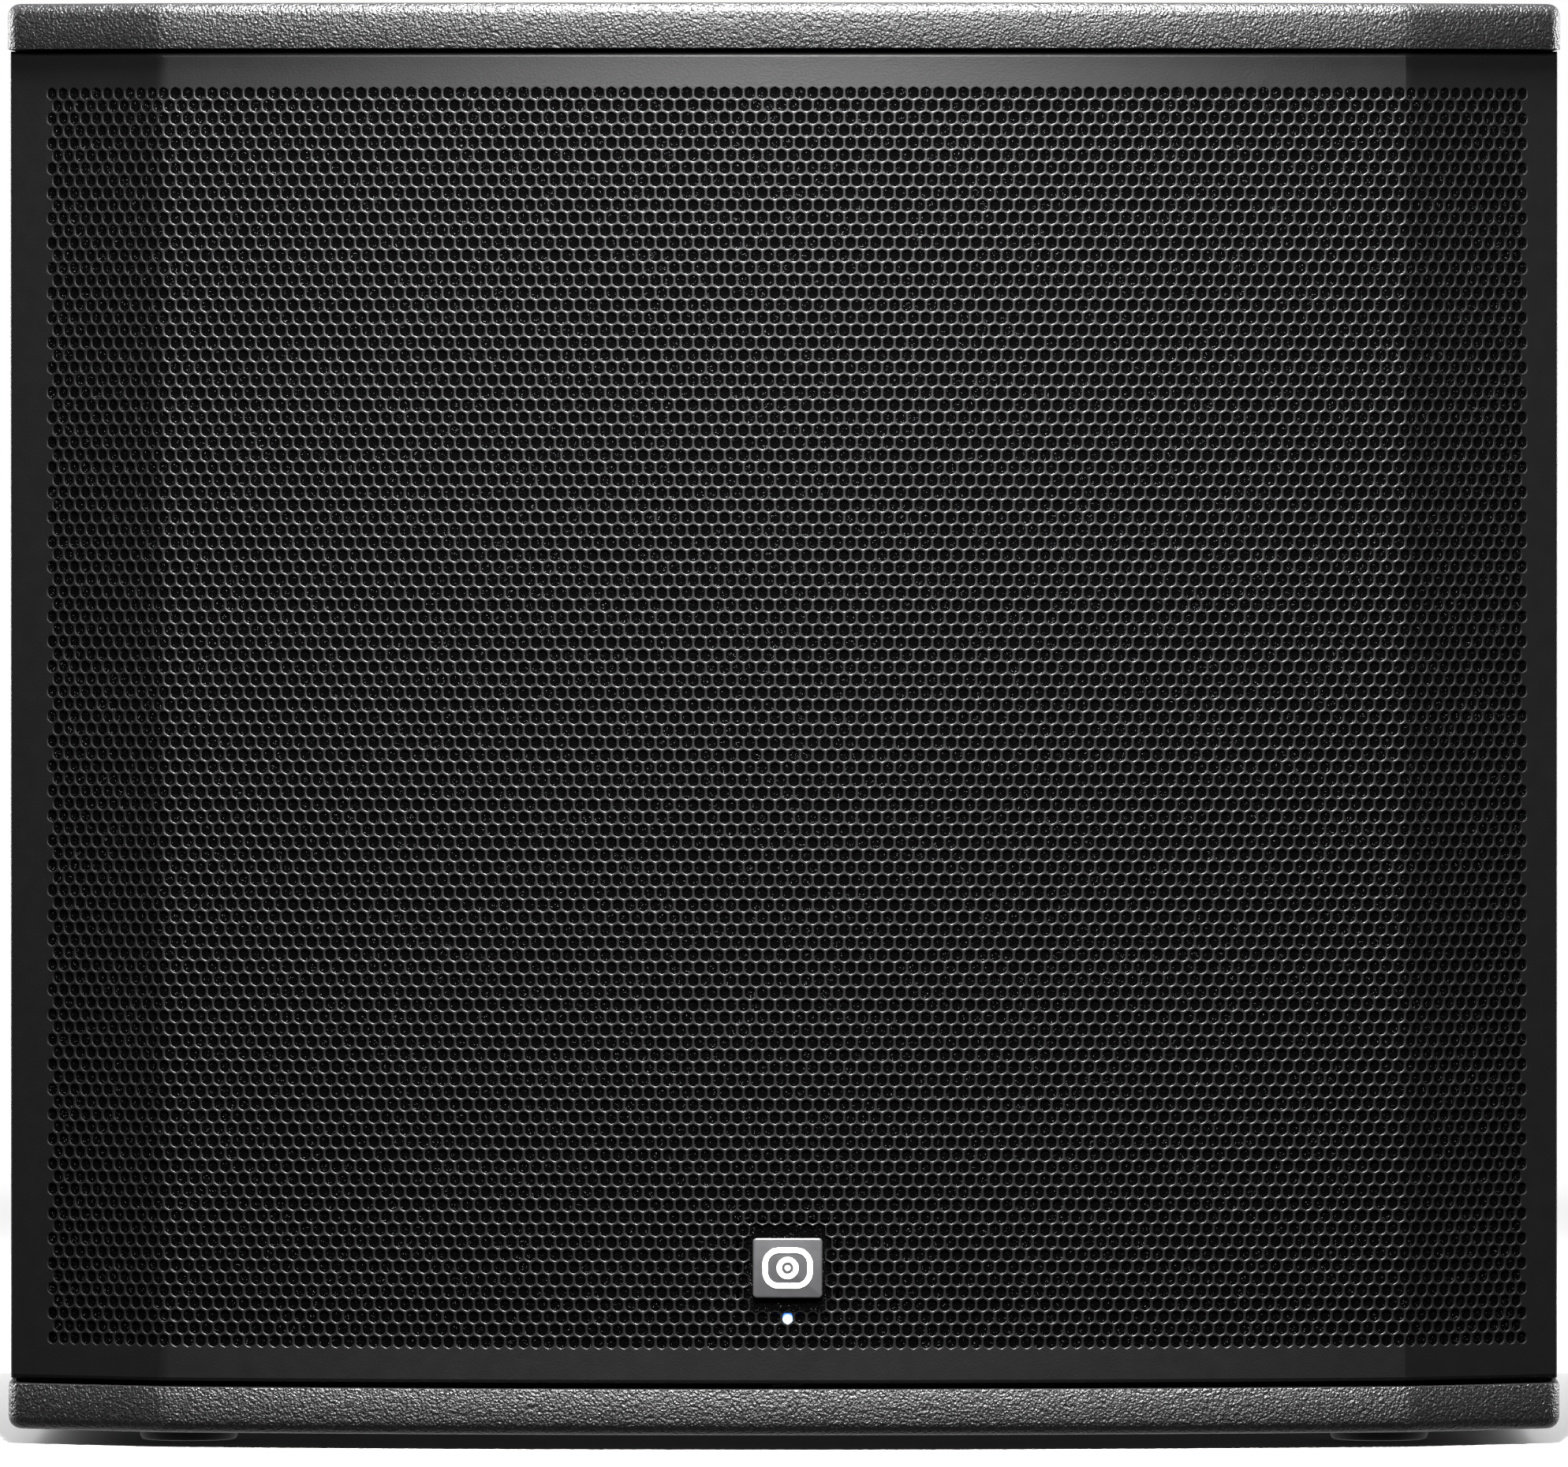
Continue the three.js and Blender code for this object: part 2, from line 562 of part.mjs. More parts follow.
function addPorts() {
  const names = ['port_upper_left', 'port_upper_right', 'port_lower_left', 'port_lower_right'];
  const outer = PORT.boreRadius + PORT.wall;
  const flare = PORT.flareRadius;
  const profile = [
    [outer, -PORT.length], [outer, FIT], [flare, FIT], [flare, PORT.lip],
    [PORT.boreRadius + 4, PORT.lip - 0.5], [PORT.boreRadius + 1, -3], [PORT.boreRadius, -9],
    [PORT.boreRadius, -PORT.length],
  ];
  portCentres().forEach(([x, z], i) => {
    const mesh = add(names[i], turned(profile, 20), 'plastic');
    mesh.position.set(x, baffleFrontY, z);
    mesh.rotation.x = Math.PI;
  });
}

// -------------------------------------------------------------------- woofer
// In the woofer's group local +Y points out of the grille, and 0 is the
// baffle's front face.

const rimRadius = WOOFER.frameRadius - WOOFER.flangeWidth + WOOFER.rimWall;
const seatInner = WOOFER.frameRadius - WOOFER.flangeWidth - WOOFER.seatWidth + 1;
const coneRadius = seatInner - WOOFER.rollWidth;
const neckRadius = WOOFER.coilRadius + 2.4;
const legTop = { r: rimRadius - 3, h: -WOOFER.rimDepth + 3 };
const legFoot = { r: MOTOR.plateRadius + 2, h: -MOTOR.mountDepth - MOTOR.mountThick / 2 };
const spiderH = -MOTOR.mountDepth + SPIDER.aboveMount;
const spiderRadius = legRadius(spiderH) - SPIDER.insideLegs;

// Distance of a leg's middle line from the axis at a height.
function legRadius(h) {
  const t = (h - legTop.h) / (legFoot.h - legTop.h);
  return legTop.r + t * (legFoot.r - legTop.r);
}

function boltAngles() {
  return Array.from({ length: BOLT.count }, (_, i) => ((i + 0.5) / BOLT.count) * 2 * Math.PI);
}

function wooferCutout() {
  const radius = rimRadius + WOOFER.cutoutClearance;
  return placed(disc(radius, baffleFrontY - 1, baffleFrontY + PLY + 1, 0, 44), 0, 0, middleZ);
}

function boltHoles() {
  const circle = WOOFER.frameRadius - WOOFER.boltInset;
  const radius = BOLT.shankRadius + BOLT.clearance;
  return boltAngles().map((a) => placed(
    disc(radius, baffleFrontY - 1, baffleFrontY + PLY + 1, 0, 10),
    circle * Math.cos(a), 0, middleZ + circle * Math.sin(a),
  ));
}

// One basket leg, a bar from the rim down to the motor mount.
function frameLeg(angle) {
  const dr = legFoot.r - legTop.r;
  const dh = legFoot.h - legTop.h;
  const geometry = new THREE.BoxGeometry(Math.hypot(dr, dh), WOOFER.legThick, WOOFER.legWidth);
  geometry.rotateZ(Math.atan2(dh, dr));
  geometry.translate((legTop.r + legFoot.r) / 2, (legTop.h + legFoot.h) / 2, 0);
  return solid(geometry.rotateY(angle));
}

function wooferFrame() {
  const inner = WOOFER.frameRadius - WOOFER.flangeWidth;
  const seatHigh = -WOOFER.seatThick;
  const rim = turned([
    [seatInner, seatHigh - WOOFER.seatThick], [inner, seatHigh - WOOFER.seatThick],
    [rimRadius - WOOFER.rimWall, -WOOFER.rimDepth], [rimRadius, -WOOFER.rimDepth], [rimRadius, FIT],
    [WOOFER.frameRadius, FIT], [WOOFER.frameRadius, WOOFER.flange - 1.5],
    [WOOFER.frameRadius - 1.5, WOOFER.flange], [inner + 1, WOOFER.flange], [inner, WOOFER.flange - 1],
    [inner, seatHigh], [seatInner, seatHigh],
  ], 36);
  const mountLevels = [-MOTOR.mountDepth - MOTOR.mountThick, -MOTOR.mountDepth];
  const mount = disc(MOTOR.plateRadius + 6, ...mountLevels, neckRadius + 4, 28);
  const spiderRing = disc(
    spiderRadius + SPIDER.seatOverhang, spiderH - SPIDER.seatHeight, spiderH,
    spiderRadius - SPIDER.seatWidth, 28,
  );
  const legs = Array.from({ length: WOOFER.legs }, (_, i) => frameLeg((i / WOOFER.legs) * 2 * Math.PI));
  const circle = WOOFER.frameRadius - WOOFER.boltInset;
  const holes = boltAngles().map((a) => placed(
    disc(BOLT.shankRadius + BOLT.clearance, -1, WOOFER.flange + 1, 0, 10),
    circle * Math.cos(a), 0, -circle * Math.sin(a),
  ));
  return cut(join(rim, mount, spiderRing, ...legs), ...holes);
}

// Two half rolls between the frame's seat and the cone's edge.
function surround() {
  const flat = WOOFER.seatWidth - 2;
  const thick = 1;
  const base = -WOOFER.seatThick + FIT;
  const steps = 3;
  const upper = [];
  const lower = [];
  for (let roll = 0; roll < 2; roll++) {
    for (let i = 0; i <= steps; i++) {
      const t = (roll + i / steps) / 2;
      const r = seatInner - WOOFER.rollWidth * t;
      const rise = WOOFER.rollHeight * Math.sin((Math.PI * i) / steps);
      upper.push([r, base + thick + rise]);
      lower.push([r, base + rise]);
    }
  }
  const first = [seatInner + flat, base];
  const last = [coneRadius - 8, base];
  const profile = [
    [first[0], base + thick], ...upper.filter((_, i) => i !== steps + 1), [last[0], base + thick],
    last, ...lower.filter((_, i) => i !== steps + 1).reverse(), first,
  ];
  return turned(profile, 28);
}

// Height of the cone's front face at a radius: steeper towards the neck.
function coneFace(r) {
  const t = (coneRadius - r) / (coneRadius - neckRadius);
  return -WOOFER.seatThick - WOOFER.coneDepth * Math.pow(t, 1.12);
}

function cone() {
  const steps = 3;
  const step = (coneRadius - neckRadius) / steps;
  const radii = Array.from({ length: steps + 1 }, (_, i) => neckRadius + step * i);
  const face = radii.map((r) => [r, coneFace(r)]);
  const rear = radii.map((r) => [r, coneFace(r) - WOOFER.coneThick]).reverse();
  return turned([...face, ...rear], 36);
}

// A shallow dome glued on the cone over the coil.
function dustCap() {
  const edge = WOOFER.coilRadius + 16;
  const rise = 20;
  const base = coneFace(edge) + FIT + 0.4;
  const steps = 4;
  const dome = (grow) => Array.from({ length: steps + 1 }, (_, i) => {
    const angle = ((i / steps) * Math.PI) / 2;
    return [(edge + grow) * Math.sin(angle), base + (rise + grow) * Math.cos(angle)];
  });
  const inner = dome(-1.2);
  inner[steps][0] = edge - 1.2;
  return turned([...dome(0), ...inner.reverse()], 24);
}

// A corrugated cloth ring from the spider seat to the coil's former.
function spider() {
  const outer = spiderRadius;
  const flatIn = spiderRadius - SPIDER.seatWidth + 1;
  const inner = WOOFER.coilRadius + 1.6;
  const waves = 3;
  const steps = waves * 2;
  const base = spiderH + FIT;
  const top = [[outer, base + 0.8]];
  const bottom = [[outer, base]];
  for (let i = 0; i <= steps; i++) {
    const r = flatIn + ((inner - flatIn) * i) / steps;
    const rise = i % 2 ? 1.8 : 0;
    top.push([r, base + 0.8 + rise]);
    bottom.push([r, base + rise]);
  }
  return turned([...top, ...bottom.reverse()], 24);
}

function voiceCoil() {
  const r = WOOFER.coilRadius;
  const middle = -MOTOR.mountDepth - MOTOR.mountThick - FIT - MOTOR.topPlate / 2;
  const high = coneFace(neckRadius) + 4;
  return turned([
    [r, middle - 16], [r + 0.8, middle - 16], [r + 0.8, middle - 12], [r + 2, middle - 12],
    [r + 2, middle + 12], [r + 0.8, middle + 12], [r + 0.8, high], [r, high],
  ], 28);
}

function motorParts() {
  const plateHigh = -MOTOR.mountDepth - MOTOR.mountThick - FIT;
  const magnetHigh = plateHigh - MOTOR.topPlate - FIT;
  const yokeHigh = magnetHigh - MOTOR.magnet - FIT;
  const gapOuter = WOOFER.coilRadius + MOTOR.gapOutside;
  const poleRadius = WOOFER.coilRadius - MOTOR.gapInside;
  const vent = MOTOR.vent;
  return {
    top_plate: [disc(MOTOR.plateRadius, plateHigh - MOTOR.topPlate, plateHigh, gapOuter, 28), 'blackSteel'],
    magnet: [
      disc(MOTOR.magnetRadius, magnetHigh - MOTOR.magnet, magnetHigh, gapOuter + MOTOR.magnetInset, 28),
      'ferrite',
    ],
    yoke: [turned([
      [vent, yokeHigh - MOTOR.yoke], [MOTOR.plateRadius + 2, yokeHigh - MOTOR.yoke],
      [MOTOR.plateRadius + 4, yokeHigh - MOTOR.yoke + 2], [MOTOR.plateRadius + 4, yokeHigh],
      [poleRadius, yokeHigh], [poleRadius, plateHigh + 2], [vent, plateHigh + 2],
    ], 28), 'blackSteel'],
  };
}

function bolt() {
  const under = WOOFER.flange + FIT;
  const high = under + BOLT.headHeight;
  const body = turned([
    [0, under - BOLT.length], [BOLT.shankRadius, under - BOLT.length], [BOLT.shankRadius, under],
    [BOLT.headRadius, under], [BOLT.headRadius, high - 0.6], [BOLT.headRadius - 0.6, high], [0, high],
  ], 10);
  return cut(body, disc(BOLT.hexRadius, high - BOLT.hexDepth, high + 1, 0, 6));
}

// The leg that carries the terminals, and where the lead meets them.
const terminalAngle = Math.PI / 3;
const terminal = { width: 14, thick: 10, length: 34 };

function terminalPoint() {
  const slope = Math.atan2(legFoot.h - legTop.h, legFoot.r - legTop.r);
  const out = WOOFER.legThick / 2 + FIT + terminal.thick / 2;
  return {
    r: (legTop.r + legFoot.r) / 2 - Math.sin(slope) * out,
    h: (legTop.h + legFoot.h) / 2 + Math.cos(slope) * out,
    slope,
  };
}

function addWoofer() {
  const group = new THREE.Group();
  group.position.set(0, baffleFrontY, middleZ);
  group.rotation.x = Math.PI;
  root.add(group);
  add('woofer_frame', wooferFrame(), 'aluminium', group);
  add('surround', surround(), 'cloth', group);
  add('cone', cone(), 'paper', group);
  add('dust_cap', dustCap(), 'paper', group);
  add('spider', spider(), 'cloth', group);
  add('voice_coil', voiceCoil(), 'copper', group);
  for (const [name, [body, look]] of Object.entries(motorParts())) add(name, body, look, group);

  const at = terminalPoint();
  const geometry = new THREE.BoxGeometry(terminal.length, terminal.thick, terminal.width);
  geometry.rotateZ(at.slope).translate(at.r, at.h, 0);
  add('terminal_block', solid(geometry.rotateY(terminalAngle)), 'plastic', group);

  const circle = WOOFER.frameRadius - WOOFER.boltInset;
  boltAngles().forEach((a, i) => {
    const mesh = add(`woofer_bolt_${i + 1}`, bolt(), 'blackSteel', group);
    mesh.position.set(circle * Math.cos(a), 0, -circle * Math.sin(a));
  });
}

// ----------------------------------------------------------------- amplifier
// In the amplifier's group u is X, v is Z from the plate's middle, and local
// +Y points out of the back from the plate's outer face.

function plateHole(radius) {
  return disc(radius, -AMP.plate - 1, 1, 0, 16);
}

function socketHole(u, v) {
  return placed(plateHole(SOCKET.bodyRadius + SOCKET.clearance), u, 0, v);
}

function flangeBody(width, height, corner, flange) {
  return wall(roundedRect(width, height, corner), FIT, FIT + flange, 3);
}

// Socket with one round bore: a jack's for an input, an open cup for an output.
function socketBody(boreRadius, boreDepth) {
  const face = FIT + SOCKET.flange;
  return cut(
    join(
      flangeBody(SOCKET.width, SOCKET.height, SOCKET.corner, SOCKET.flange),
      disc(SOCKET.bodyRadius, face - SOCKET.bodyDepth, face - 0.5, 0, 16),
    ),
    disc(boreRadius, face - boreDepth, face + 1, 0, 12),
  );
}

// The slot in an input's flange where its release tab slides.
function tabSlot() {
  const z = SOCKET.bodyRadius - TAB.inset;
  const x = TAB.width / 2 + FIT;
  return block([-x, -TAB.length - TAB.room, z], [x, TAB.length, z + TAB.height + 2 * FIT]);
}

function releaseTab() {
  const z = SOCKET.bodyRadius - TAB.inset + FIT;
  const face = FIT + SOCKET.flange;
  return block([-TAB.width / 2, face - TAB.length, z], [TAB.width / 2, face + TAB.proud, z + TAB.height]);
}

function knobBody() {
  const low = KNOB.stand;
  const high = low + KNOB.height;
  const outline = new THREE.Shape();
  for (let i = 0; i < KNOB.ribs * 2; i++) {
    const a = (i / (KNOB.ribs * 2)) * 2 * Math.PI;
    const r = KNOB.radius - (i % 2 ? KNOB.ribDepth : 0);
    outline[i ? 'lineTo' : 'moveTo'](r * Math.cos(a), r * Math.sin(a));
  }
  const skirt = wall(outline, low, high, 1);
  const crown = turned([
    [0, low - 1], [KNOB.radius + 1, low - 1], [KNOB.radius + 1, high - 2], [KNOB.radius - 1.2, high],
    [0, high],
  ], 24);
  const side = KNOB.pointerWidth / 2;
  const pointer = block([-side, high - KNOB.pointerDepth, 2], [side, high + 1, KNOB.radius + 1]);
  const shaft = disc(KNOB.shaftRadius, low - KNOB.shaftLength, low + 2, 0, 12);
  return join(cut(skirt.intersect(crown), pointer), shaft);
}

function buttonBody() {
  const cap = disc(BUTTON.radius, -BUTTON.stem, BUTTON.proud, 0, 16);
  const ease = turned([
    [0, -BUTTON.stem - 1], [BUTTON.radius + 1, -BUTTON.stem - 1], [BUTTON.radius + 1, BUTTON.proud - 0.6],
    [BUTTON.radius - 0.5, BUTTON.proud], [0, BUTTON.proud],
  ], 16);
  return cap.intersect(ease);
}

function rockerWell() {
  const [w, h] = [ROCKER.width / 2 + ROCKER.clearance, ROCKER.height / 2 + ROCKER.clearance];
  const face = FIT + INLET.flange;
  return block([-w, face - ROCKER.wellDepth, ROCKER.lift - h], [w, face + 1, ROCKER.lift + h]);
}

function inletBody() {
  const face = FIT + INLET.flange;
  const [w, h] = [INLET.bodyWidth / 2, INLET.bodyHeight / 2];
  const pins = wall(roundedRect(INLET.pinWidth, INLET.pinHeight, 3, 0, -INLET.pinDrop),
    face - INLET.pinDepth, face + 1, 3);
  return cut(
    join(
      flangeBody(INLET.width, INLET.height, INLET.corner, INLET.flange),
      block([-w, face - INLET.bodyDepth, -h], [w, face - 0.5, h]),
    ),
    pins,
    rockerWell(),
  );
}

// A rocker that turns about a line along its short side; it rests tilted.
function rockerBody() {
  const [w, h, d] = [ROCKER.width / 2, ROCKER.height / 2, ROCKER.depth / 2];
  const geometry = geometryOf(block([-w, -d, -h], [w, d, h]));
  return solid(geometry.rotateZ(THREE.MathUtils.degToRad(ROCKER.tilt)));
}

function heatsinkBody() {
  const pitch = (SINK.width - SINK.finThick) / (SINK.fins - 1);
  const left = -SINK.width / 2;
  const low = FIT + SINK.base;
  const high = low + SINK.finHeight;
  const fins = Array.from({ length: SINK.fins }, (_, i) => {
    const x = left + i * pitch;
    return [[x, low], [x, high], [x + SINK.finThick, high], [x + SINK.finThick, low]];
  }).flat();
  const outline = [[left, FIT], ...fins.slice(1, -1), [-left, FIT]];
  return slab(polygon(outline), -SINK.height / 2, SINK.height / 2, 1);
}

function plateBody() {
  const inletHole = roundedRect(INLET.bodyWidth + 1, INLET.bodyHeight + 1, 0.5, INLET.u, INLET.v);
  const holes = [
    ...SOCKET_AT.inputs.map((u) => socketHole(u, SOCKET_AT.inputV)),
    ...SOCKET_AT.outputs.map((u) => socketHole(u, SOCKET_AT.outputV)),
    ...SOCKET_AT.inputs.map((u) => placed(tabSlot(), u, 0, SOCKET_AT.inputV)),
    placed(plateHole(KNOB.shaftRadius + 0.5), KNOB.u, 0, KNOB.v),
    ...BUTTON.v.map((v) => placed(plateHole(BUTTON.radius + BUTTON.clearance), BUTTON.u, 0, v)),
    wall(inletHole, -AMP.plate - 1, 1, 1),
  ];
  const plate = wall(roundedRect(AMP.width, AMP.height, AMP.corner), -AMP.plate, 0, 3);
  const posts = boardCorners().map(([u, v]) => placed(
    disc(BOARD.postRadius, -BOARD.behindPlate + FIT, -AMP.plate + 0.5, 0, 12), u, 0, v,
  ));
  return join(cut(plate, ...holes), ...posts);
}

function boardCorners() {
  const [u, v] = [BOARD.width / 2 - BOARD.postInset, BOARD.height / 2 - BOARD.postInset];
  const middle = BOARD.aboveMiddle;
  return [[-u, middle - v], [u, middle - v], [-u, middle + v], [u, middle + v]];
}

function addAmplifier() {
  const group = new THREE.Group();
  group.position.set(0, plateOuterY, ampZ);
  root.add(group);
  const gasketY = -AMP.plate - FIT;
  add('amp_plate', plateBody(), 'anodised', group);
  const gasketHole = roundedRect(AMP.boxWidth + AMP.gasketClearance, AMP.boxHeight + AMP.gasketClearance,
    AMP.corner);
  add('amp_gasket', cut(
    wall(roundedRect(AMP.width, AMP.height, AMP.corner), gasketY - AMP.gasket, gasketY, 2),
    wall(gasketHole, gasketY - AMP.gasket - 1, gasketY + 1, 2),
  ), 'foam', group);
  add('heatsink', heatsinkBody(), 'anodised', group).position.z = SINK.aboveMiddle;

  const mouth = -AMP.plate - FIT;
  const [w, h] = [AMP.boxWidth / 2, AMP.boxHeight / 2];
  const t = AMP.boxWall;
  add('amp_box', cut(
    block([-w, mouth - AMP.boxDepth, -h], [w, mouth, h]),
    block([-w + t, mouth - AMP.boxDepth + t, -h + t], [w - t, mouth + 1, h - t]),
  ), 'steel', group);
  add('main_board', block(
    [-BOARD.width / 2, -BOARD.behindPlate - BOARD.thick, BOARD.aboveMiddle - BOARD.height / 2],
    [BOARD.width / 2, -BOARD.behindPlate, BOARD.aboveMiddle + BOARD.height / 2],
  ), 'circuit', group);
  const toroidLow = mouth - AMP.boxDepth + t + FIT;
  const r = TOROID.radius;
  add('transformer', turned([
    [TOROID.boreRadius, toroidLow + 5], [TOROID.boreRadius + 5, toroidLow], [r - 6, toroidLow],
    [r, toroidLow + 6], [r, toroidLow + TOROID.height - 6], [r - 6, toroidLow + TOROID.height],
    [TOROID.boreRadius + 5, toroidLow + TOROID.height],
    [TOROID.boreRadius, toroidLow + TOROID.height - 5],
  ], 20), 'copper', group).position.z = TOROID.aboveMiddle;

  SOCKET_AT.inputs.forEach((u, i) => {
    const inputBody = cut(socketBody(JACK.boreRadius, JACK.boreDepth), tabSlot());
    const input = add(`combo_input_${i + 1}`, inputBody, 'plastic', group);
    input.position.set(u, 0, SOCKET_AT.inputV);
    add(`release_tab_${i + 1}`, releaseTab(), 'steel', group).position.copy(input.position);
  });
  SOCKET_AT.outputs.forEach((u, i) => {
    add(`link_output_${i + 1}`, socketBody(CUP.boreRadius, CUP.boreDepth), 'plastic', group)
      .position.set(u, 0, SOCKET_AT.outputV);
  });
  add('level_knob', knobBody(), 'plastic', group).position.set(KNOB.u, 0, KNOB.v);
  const buttonNames = ['polarity_button', 'highpass_button'];
  BUTTON.v.forEach((v, i) => {
    add(buttonNames[i], buttonBody(), 'plastic', group).position.set(BUTTON.u, 0, v);
  });
  add('mains_inlet', inletBody(), 'plastic', group).position.set(INLET.u, 0, INLET.v);
  const pivotY = FIT + INLET.flange + ROCKER.proud - ROCKER.depth / 2;
  add('power_switch', rockerBody(), 'plastic', group)
    .position.set(INLET.u, pivotY, INLET.v + ROCKER.lift);
}

// ---------------------------------------------------------------------- lead

// The two-core lead from the amplifier box to the driver's terminals.
function addLead() {
  const at = terminalPoint();
  const off = terminal.thick / 2 + 1.5;
  // Rotation about local Y, then the group's half turn about X.
  const toWorld = (r, h) => new THREE.Vector3(
    r * Math.cos(terminalAngle), baffleFrontY - h, middleZ + r * Math.sin(terminalAngle),
  );
  const offBlock = (distance) => toWorld(
    at.r - Math.sin(at.slope) * distance, at.h + Math.cos(at.slope) * distance,
  );
  const end = offBlock(off);
  const boxFrontY = plateOuterY - AMP.plate - FIT - AMP.boxDepth;
  const start = new THREE.Vector3(40, boxFrontY - 1, ampZ + 120);
  const path = new THREE.CatmullRomCurve3([
    start,
    new THREE.Vector3(start.x, start.y - 22, start.z),
    new THREE.Vector3(start.x + 40, (start.y + end.y) / 2 + 40, start.z + 14),
    new THREE.Vector3(start.x + 62, end.y + 90, end.z + 40),
    offBlock(off + 26),
    end,
  ]);
  const ring = Array.from({ length: LEAD.sides }, (_, i) => {
    const a = (i / LEAD.sides) * 2 * Math.PI;
    return [LEAD.radius * Math.cos(a), LEAD.radius * Math.sin(a)];
  });
  const geometry = new THREE.ExtrudeGeometry(polygon(ring), { steps: LEAD.steps, extrudePath: path });
  add('speaker_lead', solid(geometry), 'rubber');
}

addBoards();
addGrille();
addHandles();
addPoleSocket();
addFeet();
addPorts();
addWoofer();
addAmplifier();
addLead();

export default root;
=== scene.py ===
import json
import math

import bmesh
import bpy
import numpy as np
from bpy.props import FloatProperty, FloatVectorProperty, IntProperty, PointerProperty
from bpy.types import Operator, Panel, PropertyGroup
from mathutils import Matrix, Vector


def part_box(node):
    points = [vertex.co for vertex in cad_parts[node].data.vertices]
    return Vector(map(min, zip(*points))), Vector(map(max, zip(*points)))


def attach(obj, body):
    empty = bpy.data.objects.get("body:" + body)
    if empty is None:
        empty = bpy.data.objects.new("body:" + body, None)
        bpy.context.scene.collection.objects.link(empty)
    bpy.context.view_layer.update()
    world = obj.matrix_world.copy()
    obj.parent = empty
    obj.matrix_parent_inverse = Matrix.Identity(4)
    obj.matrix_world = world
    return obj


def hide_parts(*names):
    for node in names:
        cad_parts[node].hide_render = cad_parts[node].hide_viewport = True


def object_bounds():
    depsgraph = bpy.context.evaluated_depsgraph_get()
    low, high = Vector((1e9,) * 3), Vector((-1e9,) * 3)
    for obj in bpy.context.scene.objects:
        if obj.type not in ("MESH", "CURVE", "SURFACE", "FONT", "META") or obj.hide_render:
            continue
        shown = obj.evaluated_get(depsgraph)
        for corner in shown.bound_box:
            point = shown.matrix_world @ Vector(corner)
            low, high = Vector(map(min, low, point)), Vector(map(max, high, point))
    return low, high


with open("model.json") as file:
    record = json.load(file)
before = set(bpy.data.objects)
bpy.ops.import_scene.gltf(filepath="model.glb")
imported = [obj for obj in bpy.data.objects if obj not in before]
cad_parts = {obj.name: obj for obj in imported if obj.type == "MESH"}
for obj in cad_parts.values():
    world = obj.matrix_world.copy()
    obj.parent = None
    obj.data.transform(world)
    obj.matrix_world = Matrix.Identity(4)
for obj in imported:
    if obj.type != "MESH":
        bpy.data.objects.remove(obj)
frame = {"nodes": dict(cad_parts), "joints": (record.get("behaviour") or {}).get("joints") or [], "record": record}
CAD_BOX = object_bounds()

bl_info = {
    "name": "Subwoofer cabinet",
    "version": (1, 0, 0),
    "blender": (4, 5, 0),
    "location": "View3D > Sidebar > Subwoofer",
    "description": "Builds the visible surfaces, finishes and studio of a powered subwoofer cabinet",
    "category": "Object",
}

MM = 0.001
WELD = 0.002 * MM  # points nearer than this become one
LOW, HIGH = CAD_BOX
FRONT_Y = LOW.y  # the middle of the boards' front edge
HALF_X, BACK_Y = HIGH.x, HIGH.y

# The bowed front in plan: one arc, then a straight wing past each bend.
ARC_RADIUS = 1300 * MM
BEND_X = 245 * MM
WING = math.radians(26)
GRILLE_INSET = 4 * MM


def span(node):
    """Middle and size of a CAD node's box."""
    lo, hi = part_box(node)
    return (lo + hi) / 2, hi - lo


# ---------------------------------------------------------------- settings


def amount(name, description, default, **kind):
    return FloatProperty(name=name, description=description, default=default, **kind)


def length(name, description, default):
    return amount(name, description, default, unit="LENGTH")


def watts(name, description, default):
    return amount(name, description, default, unit="POWER")


def count_of(name, description, default):
    return IntProperty(name=name, description=description, default=default)


def shade(name, description, default):
    return FloatVectorProperty(name=name, description=description, default=default, subtype="COLOR")


class GrilleSettings(PropertyGroup):
    pitch: length("Column pitch", "Distance between holes in a row", 4.92 * MM)
    row_pitch: length("Row pitch", "Distance between rows of holes", 4.885 * MM)
    bar: length("Bar width", "Metal left between two holes", 1.05 * MM)
    sheet: length("Sheet", "Thickness of the steel sheet", 1.2 * MM)
    ease: length("Eased edge", "Width of the softened edge round each hole", 0.28 * MM)
    corner: length("Hole corner", "How far each corner of a hole is rounded off", 0.58 * MM)
    fold: length("Fold radius", "Outer radius of the folded edges", 1.6 * MM)
    flange: length("Flange", "Depth of the folded edge along top and bottom", 12 * MM)
    rows: count_of("Rows", "Rows of holes", 101)
    badge_row: count_of("Badge row", "The row behind the badge's middle, from the bottom", 6)
    half_columns: count_of("Half columns", "Half pitches from the middle to the last hole", 120)


class BoardSettings(PropertyGroup):
    edge: length("Rounded edge", "Radius along the outer edge of the boards", 5 * MM)
    corner: length("Corner", "Radius of the boards' corners in plan", 9 * MM)
    ease: length("Eased edge", "Radius along the inner edge", 0.6 * MM)


class FinishSettings(PropertyGroup):
    board: shade("Paint", "Colour of the textured paint", (0.0028, 0.0028, 0.0029))
    steel: shade("Powder coat", "Colour of the grille", (0.0013, 0.0013, 0.0013))
    plastic: shade("Plastic", "Colour of the moulded parts", (0.012, 0.012, 0.0125))
    badge: shade("Badge", "Colour of the badge plate", (0.024, 0.024, 0.025))
    mark: shade("Mark", "Colour of the printed marks", (0.82, 0.82, 0.80))
    lamp: shade("Lamp", "Colour of the lit lamp", (0.06, 0.26, 1.0))
    lamp_strength: amount("Lamp strength", "Brightness of the lit lamp", 2.2)


